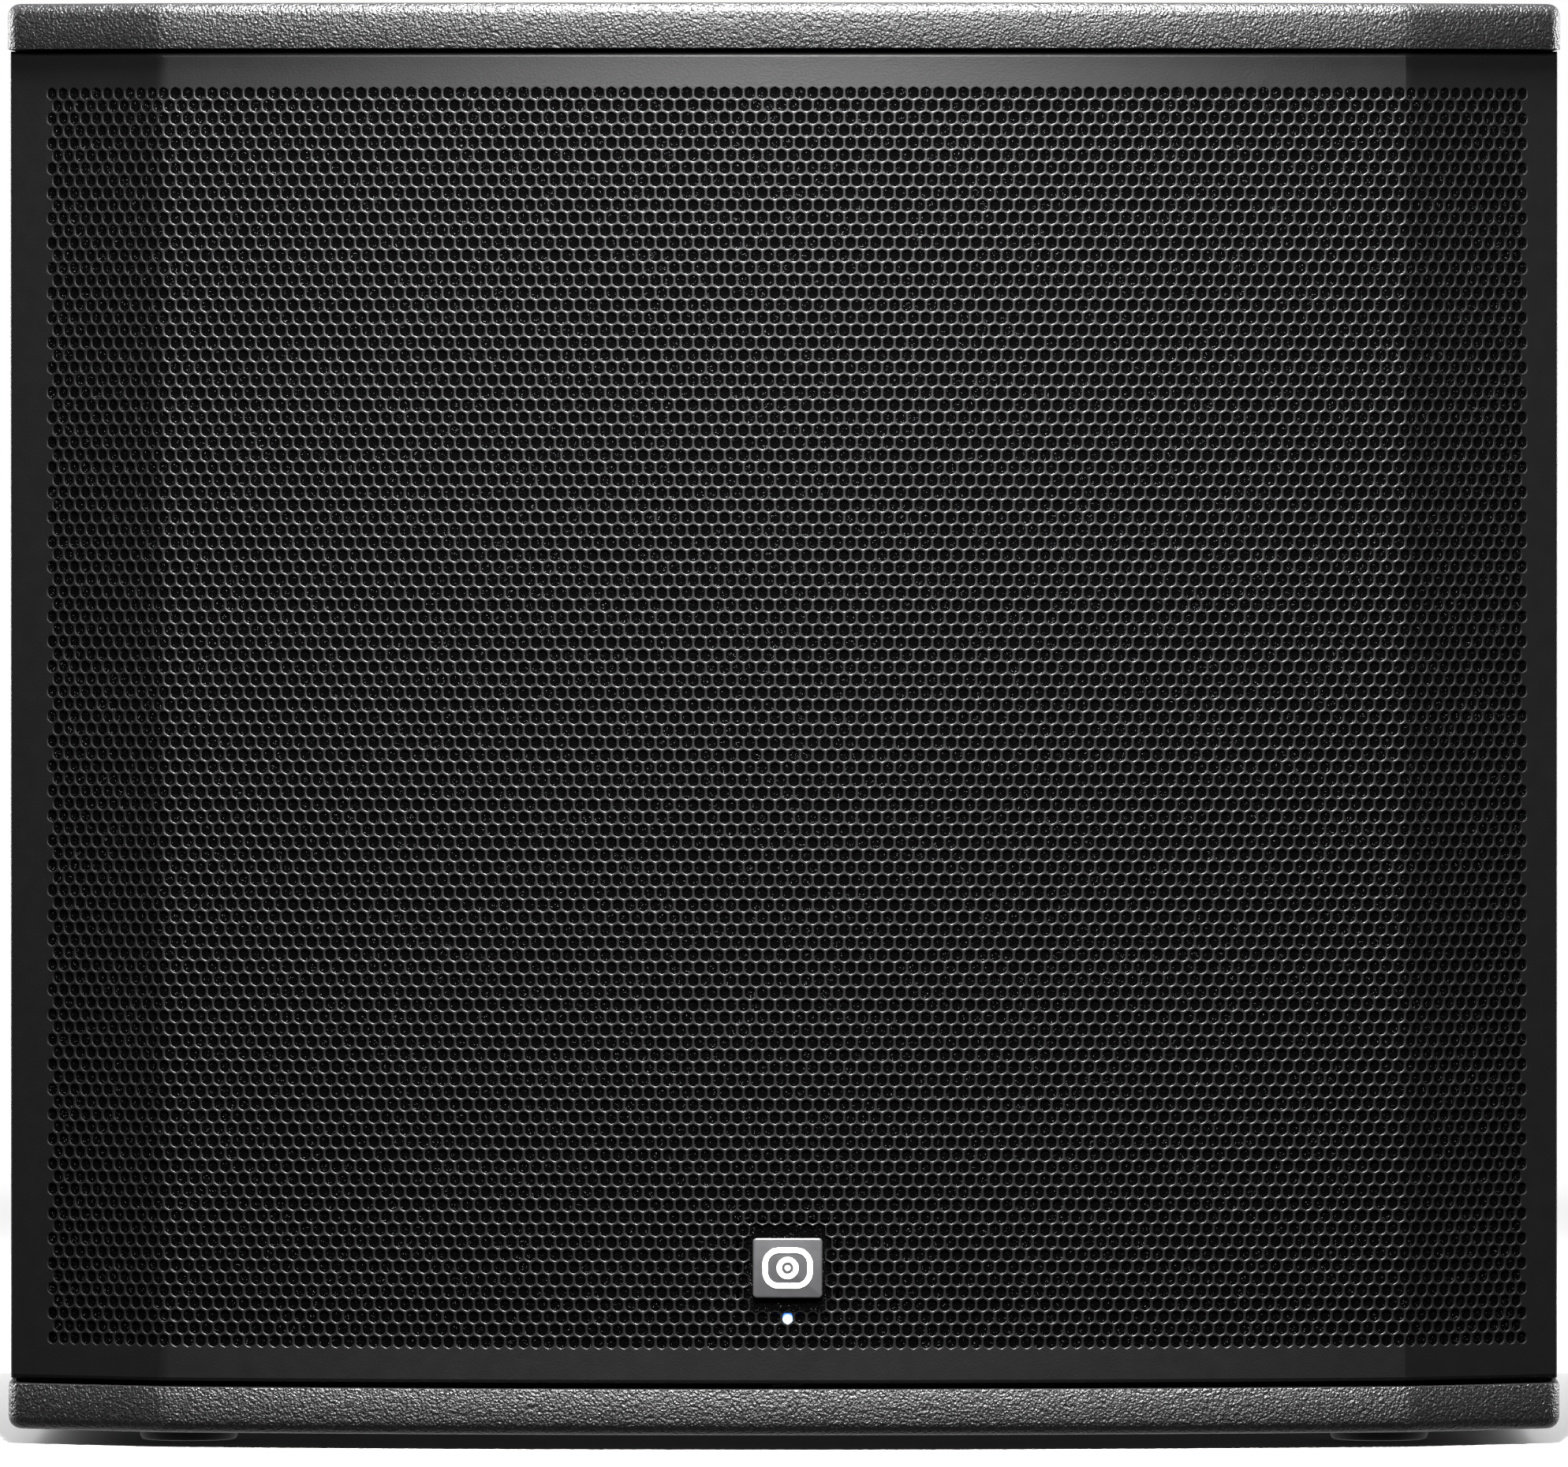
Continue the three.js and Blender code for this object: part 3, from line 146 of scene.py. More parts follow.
class StageSettings(PropertyGroup):
    distance: length("Camera distance", "From the camera to the front", 9.0)
    height: length("Camera height", "Height of the camera above the floor", 0.46)
    field: length("Field", "Width that the picture covers at the front", 0.6123)
    aim: length("Aim", "Height that the camera looks at", 0.2805)
    key: watts("Key light", "Power of the soft box above the front", 20.0)
    fill: watts("Fill light", "Power of the overhead soft box", 95.0)
    rim: watts("Rim light", "Power of each box beside the cabinet", 40.0)
    sky: amount("Room light", "Strength of the even light from the camera's side", 0.08)
    backdrop: amount("Backdrop", "Strength of the light from behind the cabinet", 1.0)


def settings(name):
    return getattr(bpy.context.scene, "subwoofer_" + name)


# ----------------------------------------------------------------- shapes


class Shape:
    """Points and faces gathered from several surfaces and put into one mesh at the end."""

    def __init__(self):
        self.points, self.faces, self.total = [], [], 0

    def add(self, points, *faces):
        points = np.asarray(points, float).reshape(-1, 3)
        self.points.append(points)
        self.faces += [np.asarray(f, int) + self.total for f in faces]
        self.total += len(points)
        return self

    def tube(self, rings, loop=False):
        """Quads between each ring of points and the next. The end rings are closed by one face
        each, or, with loop, the last ring joins the first."""
        rings = np.asarray(rings, float)
        index = np.arange(rings.shape[0] * rings.shape[1]).reshape(rings.shape[:2])
        near = index if loop else index[:-1]
        far = np.roll(index, -1, 0) if loop else index[1:]
        quads = np.stack([near, np.roll(near, -1, 1), np.roll(far, -1, 1), far], -1)
        caps = [] if loop else [index[:1, ::-1], index[-1:]]
        return self.add(rings, quads.reshape(-1, 4), *caps)

    def revolve(self, profile, steps, side, centre, loop=False):
        """A profile of (radius, height) in millimetres carried round an axis that points out of
        one side of the cabinet."""
        return self.tube(placed(turned(np.array(profile) * MM, steps), side, centre), loop)

    def mesh(self, name, sharp, weld):
        points = np.concatenate(self.points)
        sizes = np.concatenate([np.full(len(f), f.shape[1]) for f in self.faces])
        corners = np.concatenate([f.ravel() for f in self.faces])
        mesh = bpy.data.meshes.new(name)
        mesh.vertices.add(len(points))
        mesh.vertices.foreach_set("co", points.astype(np.float32).ravel())
        mesh.loops.add(len(corners))
        mesh.loops.foreach_set("vertex_index", corners.astype(np.int32))
        mesh.polygons.add(len(sizes))
        mesh.polygons.foreach_set("loop_start", (np.cumsum(sizes) - sizes).astype(np.int32))
        mesh.update(calc_edges=True)
        if weld:
            work = bmesh.new()
            work.from_mesh(mesh)
            bmesh.ops.remove_doubles(work, verts=work.verts, dist=WELD)
            bmesh.ops.recalc_face_normals(work, faces=work.faces)
            work.to_mesh(mesh)
            work.free()
        mesh.validate()
        mesh.polygons.foreach_set("use_smooth", np.ones(len(mesh.polygons), bool))
        mesh.set_sharp_from_angle(angle=math.radians(sharp))
        return mesh


def piece(name, shape, slot, body="cabinet", stands_for=(), look=None, sharp=35, weld=True):
    """Makes the shape an object that rides on a body, in its slot's finish or in a look of its
    own."""
    obj = bpy.data.objects.new(name, shape.mesh(name, sharp, weld))
    bpy.context.scene.collection.objects.link(obj)
    obj.data.materials.append(bpy.data.materials["finish_" + (look or slot)])
    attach(obj, body)
    if stands_for:
        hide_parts(*stands_for)
    return obj


# Rows of each table: where a shape's own x, y and height point in the frame.
SIDES = {
    "front": [[1, 0, 0], [0, 0, 1], [0, -1, 0]],
    "rear": [[1, 0, 0], [0, 0, 1], [0, 1, 0]],
    "top": [[1, 0, 0], [0, 1, 0], [0, 0, 1]],
    "under": [[1, 0, 0], [0, 1, 0], [0, 0, -1]],
    "left": [[0, 1, 0], [0, 0, 1], [-1, 0, 0]],
    "right": [[0, 1, 0], [0, 0, 1], [1, 0, 0]],
}


def placed(points, side, centre):
    """Turns points from a shape's own x, y and height to one side of the cabinet."""
    return np.asarray(points, float) @ np.array(SIDES[side], float) + np.asarray(centre, float)


def turned(profile, steps=48):
    """A profile of (radius, height) carried round its axis: point i of each ring stands at
    i / steps of a full turn."""
    angle = np.arange(steps) * 2 * np.pi / steps
    radius, height = np.asarray(profile, float).T
    rise = np.repeat(height[:, None], steps, 1)
    return np.stack([np.outer(radius, np.cos(angle)), np.outer(radius, np.sin(angle)), rise], -1)


def rounded(width, height, corner, steps=7):
    """Outline of a rectangle whose corners are quarter circles: in each quarter, the corner's
    centre plus its radius times the cosine and sine of the turn."""
    turn = np.arange(4)[:, None] * np.pi / 2 + np.linspace(0, np.pi / 2, steps)
    across = np.array([1, -1, -1, 1])[:, None] * (width / 2 - corner) + corner * np.cos(turn)
    along = np.array([1, 1, -1, -1])[:, None] * (height / 2 - corner) + corner * np.sin(turn)
    return np.stack([across, along], -1).reshape(-1, 2)


def level(outline, height):
    """An outline lifted to one height."""
    return np.c_[outline, np.full(len(outline), float(height))]


def stacked(rows, steps=7):
    """Rounded rectangles one above another: each row is (width, height, corner, level)."""
    return np.array([level(rounded(w, h, c, steps), z) for w, h, c, z in np.asarray(rows, float)])


def slab(width, height, corner, low, high, ease, steps=7):
    """A rounded rectangle from low to high whose upper edge is eased by a quarter circle."""
    turn = np.linspace(0, np.pi / 2, 5)
    inset = ease * (1 - np.cos(turn))
    rows = [(width, height, corner, low)]
    rows += [(width - 2 * i, height - 2 * i, max(corner - i, 1e-5), high - ease + ease * s)
             for i, s in zip(inset, np.sin(turn))]
    return stacked(rows, steps)


def around(outline, radius, height, centre=(0, 0)):
    """A circle whose points stand at the same bearings from its centre as the outline's points."""
    bearing = np.arctan2(outline[:, 1] - centre[1], outline[:, 0] - centre[0])
    circle = np.c_[centre[0] + radius * np.cos(bearing), centre[1] + radius * np.sin(bearing)]
    return level(circle, height)


def screw(shape, side, centre, radius, high):
    """A pan-head screw with a six-sided recess: rings of 24 points, of which the recess's lie on
    a hexagon, the radius divided by the cosine of the bearing from the nearest flat."""
    steps = 24
    profile = [(radius, -0.3 * MM), (radius, 0.45 * high), (0.86 * radius, 0.86 * high), (0.62 * radius, high)]
    head = turned(profile, steps)
    angle = np.arange(steps) * 2 * np.pi / steps
    flat = 0.46 * radius / np.cos((angle % (np.pi / 3)) - np.pi / 6)
    hexagon = np.c_[flat * np.cos(angle), flat * np.sin(angle)]
    rings = np.concatenate([head, [level(hexagon, high), level(hexagon, 0.35 * high)]])
    shape.tube(placed(rings, side, centre))


# ------------------------------------------------------------- bowed front


def bend_at(inset):
    """X of the bend on a line moved inwards: it slides along the mitre of arc and wing."""
    arc = math.asin(BEND_X / ARC_RADIUS)
    return BEND_X - inset / math.cos((WING - arc) / 2) * math.sin((WING + arc) / 2)


def bend_run(inset):
    """Length of the line from its middle to the bend."""
    radius = ARC_RADIUS - inset
    return radius * math.asin(bend_at(inset) / radius)


def front_at(run, inset, depth=0.0):
    """Plan points (x, y) of the front line that lies `inset` behind the boards' edge, at a length
    `run` from its middle and a `depth` further in, square to it. Up to the bend the point is on
    an arc about one centre; past it the point goes on along the wing."""
    radius = ARC_RADIUS - inset
    size = np.abs(run)
    angle = np.minimum(size, bend_run(inset)) / radius
    past = np.maximum(size - bend_run(inset), 0)
    square = np.where(past > 0, WING, angle)
    x = radius * np.sin(angle) + past * math.cos(WING) - depth * np.sin(square)
    y = FRONT_Y + ARC_RADIUS - radius * np.cos(angle) + past * math.sin(WING) + depth * np.cos(square)
    return np.sign(run) * x, y


def on_front(flat, inset, depth):
    """Flat points (run, z) bent on to the front line, as points in the frame."""
    x, y = front_at(flat[..., 0], inset, depth)
    return np.stack([x, y, flat[..., 1]], -1)


def board_plan(corner):
    """Outline of the boards in plan and its outward normals: the bowed front from left to right,
    then quarter turns and straight runs round the sides and back."""
    start_x = HALF_X - corner * (1 - math.sin(WING))
    end = bend_run(0) + (start_x - BEND_X) / math.cos(WING)
    gap = 0.4 * MM
    wing = np.linspace(bend_run(0) + gap, end, 8)
    run = np.r_[-wing[::-1], np.linspace(gap - bend_run(0), bend_run(0) - gap, 91), wing]
    line = np.stack(front_at(run, 0), -1)
    inner = np.stack(front_at(run, 0, 1.0), -1)
    points, normals = [line], [line - inner]
    front_corner_y = line[-1, 1] + corner * math.cos(WING)
    side_y = np.linspace(front_corner_y, BACK_Y - corner, 16)[1:-1]
    back_x = np.linspace(HALF_X - corner, corner - HALF_X, 20)[1:-1]

    def turn(x, y, first, last):
        angle = np.linspace(first, last, 9)
        way = np.c_[np.cos(angle), np.sin(angle)]
        points.append(np.array([x, y]) + corner * way)
        normals.append(way)

    def straight(x, y, way):
        points.append(np.stack(np.broadcast_arrays(x, y), -1))
        normals.append(np.tile(way, (len(points[-1]), 1)))

    x = HALF_X - corner
    turn(x, front_corner_y, WING - np.pi / 2, 0)
    straight(HALF_X, side_y, (1.0, 0.0))
    turn(x, BACK_Y - corner, 0, np.pi / 2)
    straight(back_x, BACK_Y, (0.0, 1.0))
    turn(-x, BACK_Y - corner, np.pi / 2, np.pi)
    straight(-HALF_X, side_y[::-1], (-1.0, 0.0))
    turn(-x, front_corner_y, np.pi, 1.5 * np.pi - WING)
    points, normals = np.concatenate(points), np.concatenate(normals)
    keep = np.linalg.norm(points - np.roll(points, 1, 0), axis=1) > 1e-6
    return points[keep], normals[keep]


# --------------------------------------------------------- mesh of the grille

# Places in a hole's outline of the points before and after each of its six corners, and of the
# two at its very top and bottom; then, for each triangle at a corner, the corner and two points.
BEFORE, AFTER, TIP = [0, 2, 5, 7, 9, 12], [1, 4, 6, 8, 11, 13], [3, 10]
AT_CORNER = np.array([
    (0, 1, 0), (1, 3, 2), (1, 4, 3), (2, 6, 5), (3, 8, 7), (4, 10, 9), (4, 11, 10), (5, 13, 12),
])
TIP_REACH = 0.97  # how far the top and bottom points stand out, as a share of the corner's reach
EASE_DEPTH = 0.67  # depth of the eased edge as a share of its width
# Reach of the badge's window from its middle hole: rows, and half columns in even and odd rows.
WINDOW_ROWS, WINDOW_EVEN, WINDOW_ODD = 3, 6, 5


def hexagon(pitch, row_pitch, inset=0.0):
    """Corners of the cell round one hole, moved inwards by `inset`. The side edges stand half a
    pitch away, and the sloped edges lie midway between holes of neighbouring rows."""
    side = pitch / 2 - inset
    slant = math.hypot(pitch / 2, row_pitch)
    reach = slant**2 / 2 - inset * slant
    top = reach / row_pitch
    shoulder = (reach - pitch / 2 * side) / row_pitch
    upper = np.array([(side, shoulder), (0, top), (-side, shoulder)])
    return np.concatenate([upper, -upper])


def hole_outline(g, inset):
    """Fourteen points round a hole: the cell's hexagon moved inwards, each corner replaced by a
    point before it and one after it, and a third between them at the top and bottom."""
    corners = hexagon(g.pitch, g.row_pitch, inset)
    cut = g.corner * np.array([1, 1.6, 1, 1, 1.6, 1])[:, None]
    unit = lambda v: v / np.linalg.norm(v, axis=1, keepdims=True)
    before = corners + cut * unit(np.roll(corners, 1, 0) - corners)
    after = corners + cut * unit(np.roll(corners, -1, 0) - corners)
    points = np.empty((14, 2))
    points[BEFORE], points[AFTER], points[TIP] = before, after, TIP_REACH * corners[[1, 4]]
    return points


def hole_places(g, middle):
    """Rows and half columns of the holes, less those in the badge's window."""
    halves = np.arange(-g.half_columns, g.half_columns + 1)
    row, half = np.meshgrid(np.arange(g.rows), halves, indexing="ij")
    up = row - g.badge_row
    reach = np.where(up % 2 == 0, WINDOW_EVEN, WINDOW_ODD)
    window = (np.abs(up) <= WINDOW_ROWS) & (np.abs(half) <= reach)
    keep = ((half + up) % 2 == 0) & ~window
    row, half, up = row[keep], half[keep], up[keep]
    return row, half, np.stack([middle[0] + half * g.pitch / 2, middle[1] + up * g.row_pitch], -1)


def margin_quads(cells, edges, axis, value):
    """Flat quads from cell edges straight out to a line: the edge's ends, and the same two points
    with one coordinate moved to the line."""
    first, second = cells[:, edges], cells[:, (np.array(edges) + 1) % 6]
    quads = np.stack([second, first, first, second], -2).reshape(-1, 4, 2)
    quads[:, 2:, axis] = value
    return quads


def grille_band(g, row, half, flat, limits):
    """A closed strip of perforated sheet. In the flat, each cell is a ring between its hexagon and
    its hole, eased at the front; margins fill up to the fold lines, and walls close every edge
    that has one face only. The flat is then bent on to the front line."""
    (run_end, z_low, z_high), last = limits, g.half_columns
    cells = flat[:, None] + hexagon(g.pitch, g.row_pitch)
    top, bottom = row == row.max(), row == row.min()
    margins = [
        margin_quads(cells[top], [0, 1], 1, z_high),
        margin_quads(cells[bottom], [3, 4], 1, z_low),
    ]
    for end, sign, upright, rising, falling in ((last, 1, 5, 0, 4), (-last, -1, 2, 1, 3)):
        outer, inner = half == end, half == end - sign
        if not outer.any():
            continue
        line = sign * run_end
        margins += [
            margin_quads(cells[outer | inner], [upright], 0, line),
            margin_quads(cells[outer & ~top], [rising], 0, line),
            margin_quads(cells[outer & ~bottom], [falling], 0, line),
        ]
        for rim, z, pick in ((top, z_high, (0, 2)), (bottom, z_low, (5, 3))):
            corner = cells[outer & rim][0, pick[0 if sign > 0 else 1]]
            quad = np.array([corner, (line, corner[1]), (line, z), (corner[0], z)])
            margins.append((quad if sign * (1 if z > corner[1] else -1) > 0 else quad[::-1])[None])
    margins = np.concatenate(margins)

    outer = np.concatenate([cells.reshape(-1, 2), margins.reshape(-1, 2)])
    grid = np.round(outer / (1e-4 * MM)).astype(np.int64)
    _, first, index = np.unique(grid, axis=0, return_index=True, return_inverse=True)
    index = index.ravel()
    shared = outer[first]
    cell_index = index[: cells.shape[0] * 6].reshape(-1, 6)
    margin_index = index[cells.shape[0] * 6 :].reshape(-1, 4)
    count, total = len(cells), len(shared)

    hole, wide = hole_outline(g, g.bar / 2), hole_outline(g, g.bar / 2 - g.ease)
    levels = [(wide, 0), (hole, EASE_DEPTH * g.ease), (hole, g.sheet)]
    points = [on_front(shared, GRILLE_INSET, 0), on_front(shared, GRILLE_INSET, g.sheet)]
    points += [on_front((flat[:, None] + f).reshape(-1, 2), GRILLE_INSET, d) for f, d in levels]
    steps = len(hole)
    ring = [2 * total + (k * count + np.arange(count)[:, None]) * steps + np.arange(steps) for k in range(3)]

    def band_faces(edge, inner):
        """Quads along the hexagon's sides and triangles at its corners."""
        quads = np.stack([edge, np.roll(edge, -1, 1), inner[:, np.roll(BEFORE, -1)], inner[:, AFTER]], -1)
        corner, after, before = AT_CORNER.T
        triangles = np.stack([edge[:, corner], inner[:, after], inner[:, before]], -1)
        return quads.reshape(-1, 4), triangles.reshape(-1, 3)

    front_quads, front_corners = band_faces(cell_index, ring[0])
    back_quads, back_corners = band_faces(cell_index + total, ring[2])
    walls = [np.stack([a, np.roll(a, -1, 1), np.roll(b, -1, 1), b], -1).reshape(-1, 4)
             for a, b in zip(ring, ring[1:])]
    edges = np.concatenate([np.stack([f, np.roll(f, -1, 1)], -1).reshape(-1, 2)
                            for f in (cell_index, margin_index)])
    alone = ~np.isin(edges[:, 1] * total + edges[:, 0], edges[:, 0] * total + edges[:, 1])
    a, b = edges[alone].T
    rim = np.stack([b, a, a + total, b + total], -1)
    margin_back = margin_index[:, ::-1] + total
    quads = np.concatenate([front_quads, back_quads[:, ::-1], *walls, rim, margin_index, margin_back])
    triangles = np.concatenate([front_corners, back_corners[:, ::-1]])
    return Shape().add(np.concatenate(points), quads, triangles)


def folded_edges(g, run_end, z_low, z_high):
    """The grille's folded rim. Along top and bottom a profile of (depth, height) with a rounded
    fold runs along the front line; at each end a profile in plan, with the same fold, stands
    upright as the side return."""
    shape = Shape()
    turn = np.linspace(0, np.pi / 2, 6)
    outer = np.c_[g.fold * (1 - np.cos(turn)), g.fold * (np.sin(turn) - 1)]
    inside = g.fold - g.sheet
    inner = np.c_[g.fold - inside * np.cos(turn), inside * np.sin(turn) - g.fold][::-1]
    bend = bend_run(GRILLE_INSET)
    run = np.unique(np.r_[np.linspace(-run_end, run_end, 141), bend, -bend])
    # The flange narrows over a short taper near each end, to clear the side return.
    taper, narrow = [284 * MM, 292 * MM], 4.5 * MM
    depth = np.interp(np.abs(run), taper, [g.flange, narrow])
    for z, way in ((z_high, 1), (z_low, -1)):
        rings = []
        for d, h in [*outer, (depth, 0), (depth, -g.sheet), *inner]:
            flat = np.stack([run, np.full(len(run), z + way * h)], -1)
            rings.append(on_front(flat, GRILLE_INSET, d))
        shape.tube(np.stack(rings, 1))
    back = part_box("grille")[1].y
    start = np.array(front_at(np.array([run_end]), GRILLE_INSET)).ravel()
    centre = start + g.fold * np.array([-math.sin(WING), math.cos(WING)])
    angle = np.linspace(WING - np.pi / 2, 0, 6)
    way = np.c_[np.cos(angle), np.sin(angle)]
    far, near = centre[0] + g.fold, centre[0] + inside
    end = [(far, back), (near, back)]
    plan = np.concatenate([centre + g.fold * way, end, (centre + inside * way)[::-1]])
    for side in (1, -1):
        shape.tube(np.array([level(plan * (side, 1), z) for z in (z_low, z_high)]))
    return shape


# ---------------------------------------------------------------- finishes


class Value:
    """A node's output socket. Arithmetic on it adds Math nodes."""

    def __init__(self, finish, socket):
        self.finish, self.socket = finish, socket

    def math(self, operation, first, second):
        return self.finish.node("ShaderNodeMath", {"operation": operation}, {0: first, 1: second})

    def __add__(self, other):
        return self.math("ADD", self, other)

    def __sub__(self, other):
        return self.math("SUBTRACT", self, other)

    def __rsub__(self, other):
        return self.math("SUBTRACT", other, self)

    def __mul__(self, other):
        return self.math("MULTIPLY", self, other)

    def __pow__(self, other):
        return self.math("POWER", self, other)

    def below(self, other):
        return self.math("LESS_THAN", self, other)

    __radd__, __rmul__ = __add__, __mul__


class Finish:
    """A material with one Principled shader, and the nodes that feed it."""

    def __init__(self, name, **constants):
        self.material = bpy.data.materials.new("finish_" + name)
        self.material.use_nodes = True
        self.tree = self.material.node_tree
        self.shader = self.tree.nodes["Principled BSDF"]
        for key, value in constants.items():
            self.shader.inputs[key.replace("_", " ")].default_value = value

    def node(self, kind, settings=None, sockets=None, output=0):
        """Adds a node: its settings first, then the values or links of its sockets."""
        made = self.tree.nodes.new(kind)
        for key, value in (settings or {}).items():
            setattr(made, key, value)
        for key, value in (sockets or {}).items():
            if isinstance(value, Value):
                self.tree.links.new(value.socket, made.inputs[key])
            else:
                made.inputs[key].default_value = value
        return Value(self, made.outputs[output])

    def feed(self, key, value):
        self.tree.links.new(value.socket, self.shader.inputs[key])

    def vector(self, operation, sockets, output=0):
        return self.node("ShaderNodeVectorMath", {"operation": operation}, sockets, output)

    def place(self):
        return self.node("ShaderNodeTexCoord", output="Object")

    def noise(self, scale, detail=2.0, stretch=(1.0, 1.0, 1.0)):
        """Noise on Object coordinates, from about 0 to 1."""
        at = self.node("ShaderNodeMapping", {}, {"Vector": self.place(), "Scale": stretch})
        return self.node("ShaderNodeTexNoise", {}, {"Vector": at, "Scale": scale, "Detail": detail})

    def cells(self, scale):
        """Distance to the nearest point of a scattered pattern."""
        return self.node("ShaderNodeTexVoronoi", {}, {"Vector": self.place(), "Scale": scale})

    def waves(self, scale, distortion):
        """Two sets of bands at right angles, along X and along Z."""
        sockets = {"Vector": self.place(), "Scale": scale, "Distortion": distortion}
        return [self.node("ShaderNodeTexWave", {"bands_direction": way}, sockets) for way in ("X", "Z")]

    def mix(self, factor, first, second):
        """A colour between two colours; 0, 6 and 7 are the node's factor and colour sockets."""
        sockets = {0: factor, 6: (*first, 1.0), 7: (*second, 1.0)}
        return self.node("ShaderNodeMix", {"data_type": "RGBA"}, sockets, 2)

    def bump(self, height, distance):
        sockets = {"Height": height, "Distance": distance, "Strength": 1.0}
        self.feed("Normal", self.node("ShaderNodeBump", {}, sockets))


def scaled(colour, by):
    return tuple(min(1.0, c * by) for c in colour)


def grained(name, colour, roughness, scale, press, vary=0.18, rough_vary=0.08, **constants):
    """A finish whose colour and roughness drift with a coarse noise, with a fine noise pressed
    into its surface to a depth of `press`."""
    finish = Finish(name, **constants)
    drift = finish.noise(scale * 0.11, 3.0)
    finish.feed("Base Color", finish.mix(drift, scaled(colour, 1 - vary), scaled(colour, 1 + vary)))
    finish.feed("Roughness", roughness - rough_vary / 2 + rough_vary * drift)
    finish.bump(finish.noise(scale, 3.0), press)


def painted_finish(colour):
    """Thick sprayed paint: leathery grains from a scattered pattern over an orange peel, steep
    enough to sparkle."""
    finish = Finish("painted_board", Specular_IOR_Level=0.34)
    grain = finish.cells(1000.0)
    peel = finish.noise(780.0, 3.0)
    drift = finish.noise(9.0, 4.0)
    finish.feed("Base Color", finish.mix(grain, scaled(colour, 1.35), scaled(colour, 0.65)))
    finish.feed("Roughness", 0.34 + 0.08 * drift)
    finish.bump(peel + (1 - grain) * 0.45, 0.62 * MM)


def foam_finish():
    """Open-cell foam: black, with a painted glint here and there, light specks in the colour standing in for light
    caught on a strand.
    """
    finish = Finish("acoustic_foam", Specular_IOR_Level=0.0)
    strand = finish.cells(1500.0)
    patch = finish.noise(900.0, 2.0)
    # Painted glints: sparse light specks in the base colour stand in for light caught on the foam's strands.
    painted_glint = strand.below(0.22) * (1 - patch.below(0.56))
    finish.feed("Base Color", finish.mix(painted_glint, (0.0014, 0.0014, 0.0015), (0.12, 0.12, 0.125)))
    finish.feed("Roughness", 0.62 + 0.3 * patch)
    finish.bump(1 - strand, 0.8 * MM)


def plywood_finish():
    """Birch plywood: plies stacked in height, each with long grain along the board."""
    finish = Finish("bare_plywood")
    grain = finish.noise(60.0, 6.0, (1.0, 1.0, 14.0))
    drift = finish.noise(8.0, 3.0, (1.0, 12.0, 1.0))
    finish.feed("Base Color", finish.mix(grain * 0.6 + drift * 0.4, (0.42, 0.27, 0.15), (0.62, 0.44, 0.26)))
    finish.feed("Roughness", 0.55 + 0.15 * grain)
    finish.bump(grain, 0.15 * MM)


def paper_finish():
    """Pressed cone paper: short matted fibres, drawn out in height."""
    finish = Finish("cone_paper", Specular_IOR_Level=0.3)
    fibre = finish.noise(520.0, 6.0, (1.0, 1.0, 0.25))
    felt = finish.noise(90.0, 3.0)
    matted = fibre * 0.7 + felt * 0.3
    finish.feed("Base Color", finish.mix(matted, (0.010, 0.010, 0.010), (0.045, 0.044, 0.042)))
    finish.feed("Roughness", 0.75 + 0.15 * fibre)
    finish.bump(fibre, 0.25 * MM)


def woven_finish(name, dark, light, rate, press):
    """Cloth or wound wire: two crossed waves make its threads."""
    finish = Finish(name, Specular_IOR_Level=0.35)
    warp, weft = finish.waves(rate, 0.4)
    weave = warp * 0.5 + weft * 0.5
    finish.feed("Base Color", finish.mix(weave, dark, light))
    finish.feed("Roughness", 0.6 + 0.2 * weave)
    finish.bump(weave, press)


def board_finish():
    """A circuit board: green mask over paler tracks at right angles."""
    finish = Finish("circuit_board", Coat_Weight=0.3)
    across, along = finish.waves(38.0, 1.5)
    track = (across * along) ** 3.0
    finish.feed("Base Color", finish.mix(track, (0.01, 0.075, 0.03), (0.05, 0.20, 0.08)))
    finish.feed("Roughness", 0.35 + 0.15 * track)
    finish.bump(track, 0.05 * MM)


def lamp_finish(colour, strength):
    """A lit lens: nearly white on its axis and the lamp's own blue towards its rim. The distance
    from the axis is taken in X and Z only."""
    middle, size = span("led_lens")
    finish = Finish("lamp_lens", Roughness=0.25, Emission_Strength=strength)
    flat = finish.vector("MULTIPLY", {0: finish.place(), 1: (1, 0, 1)})
    away = finish.vector("DISTANCE", {0: flat, 1: (middle.x, 0, middle.z)}, 1)
    rim = (away * (1.9 / size.x)) ** 2.0
    haze = finish.noise(500.0, 2.0)
    finish.feed("Base Color", finish.mix(haze, scaled(colour, 0.9), (0.9, 0.95, 1.0)))
    finish.feed("Emission Color", finish.mix(rim, (0.50, 0.78, 1.0), scaled(colour, 0.55)))


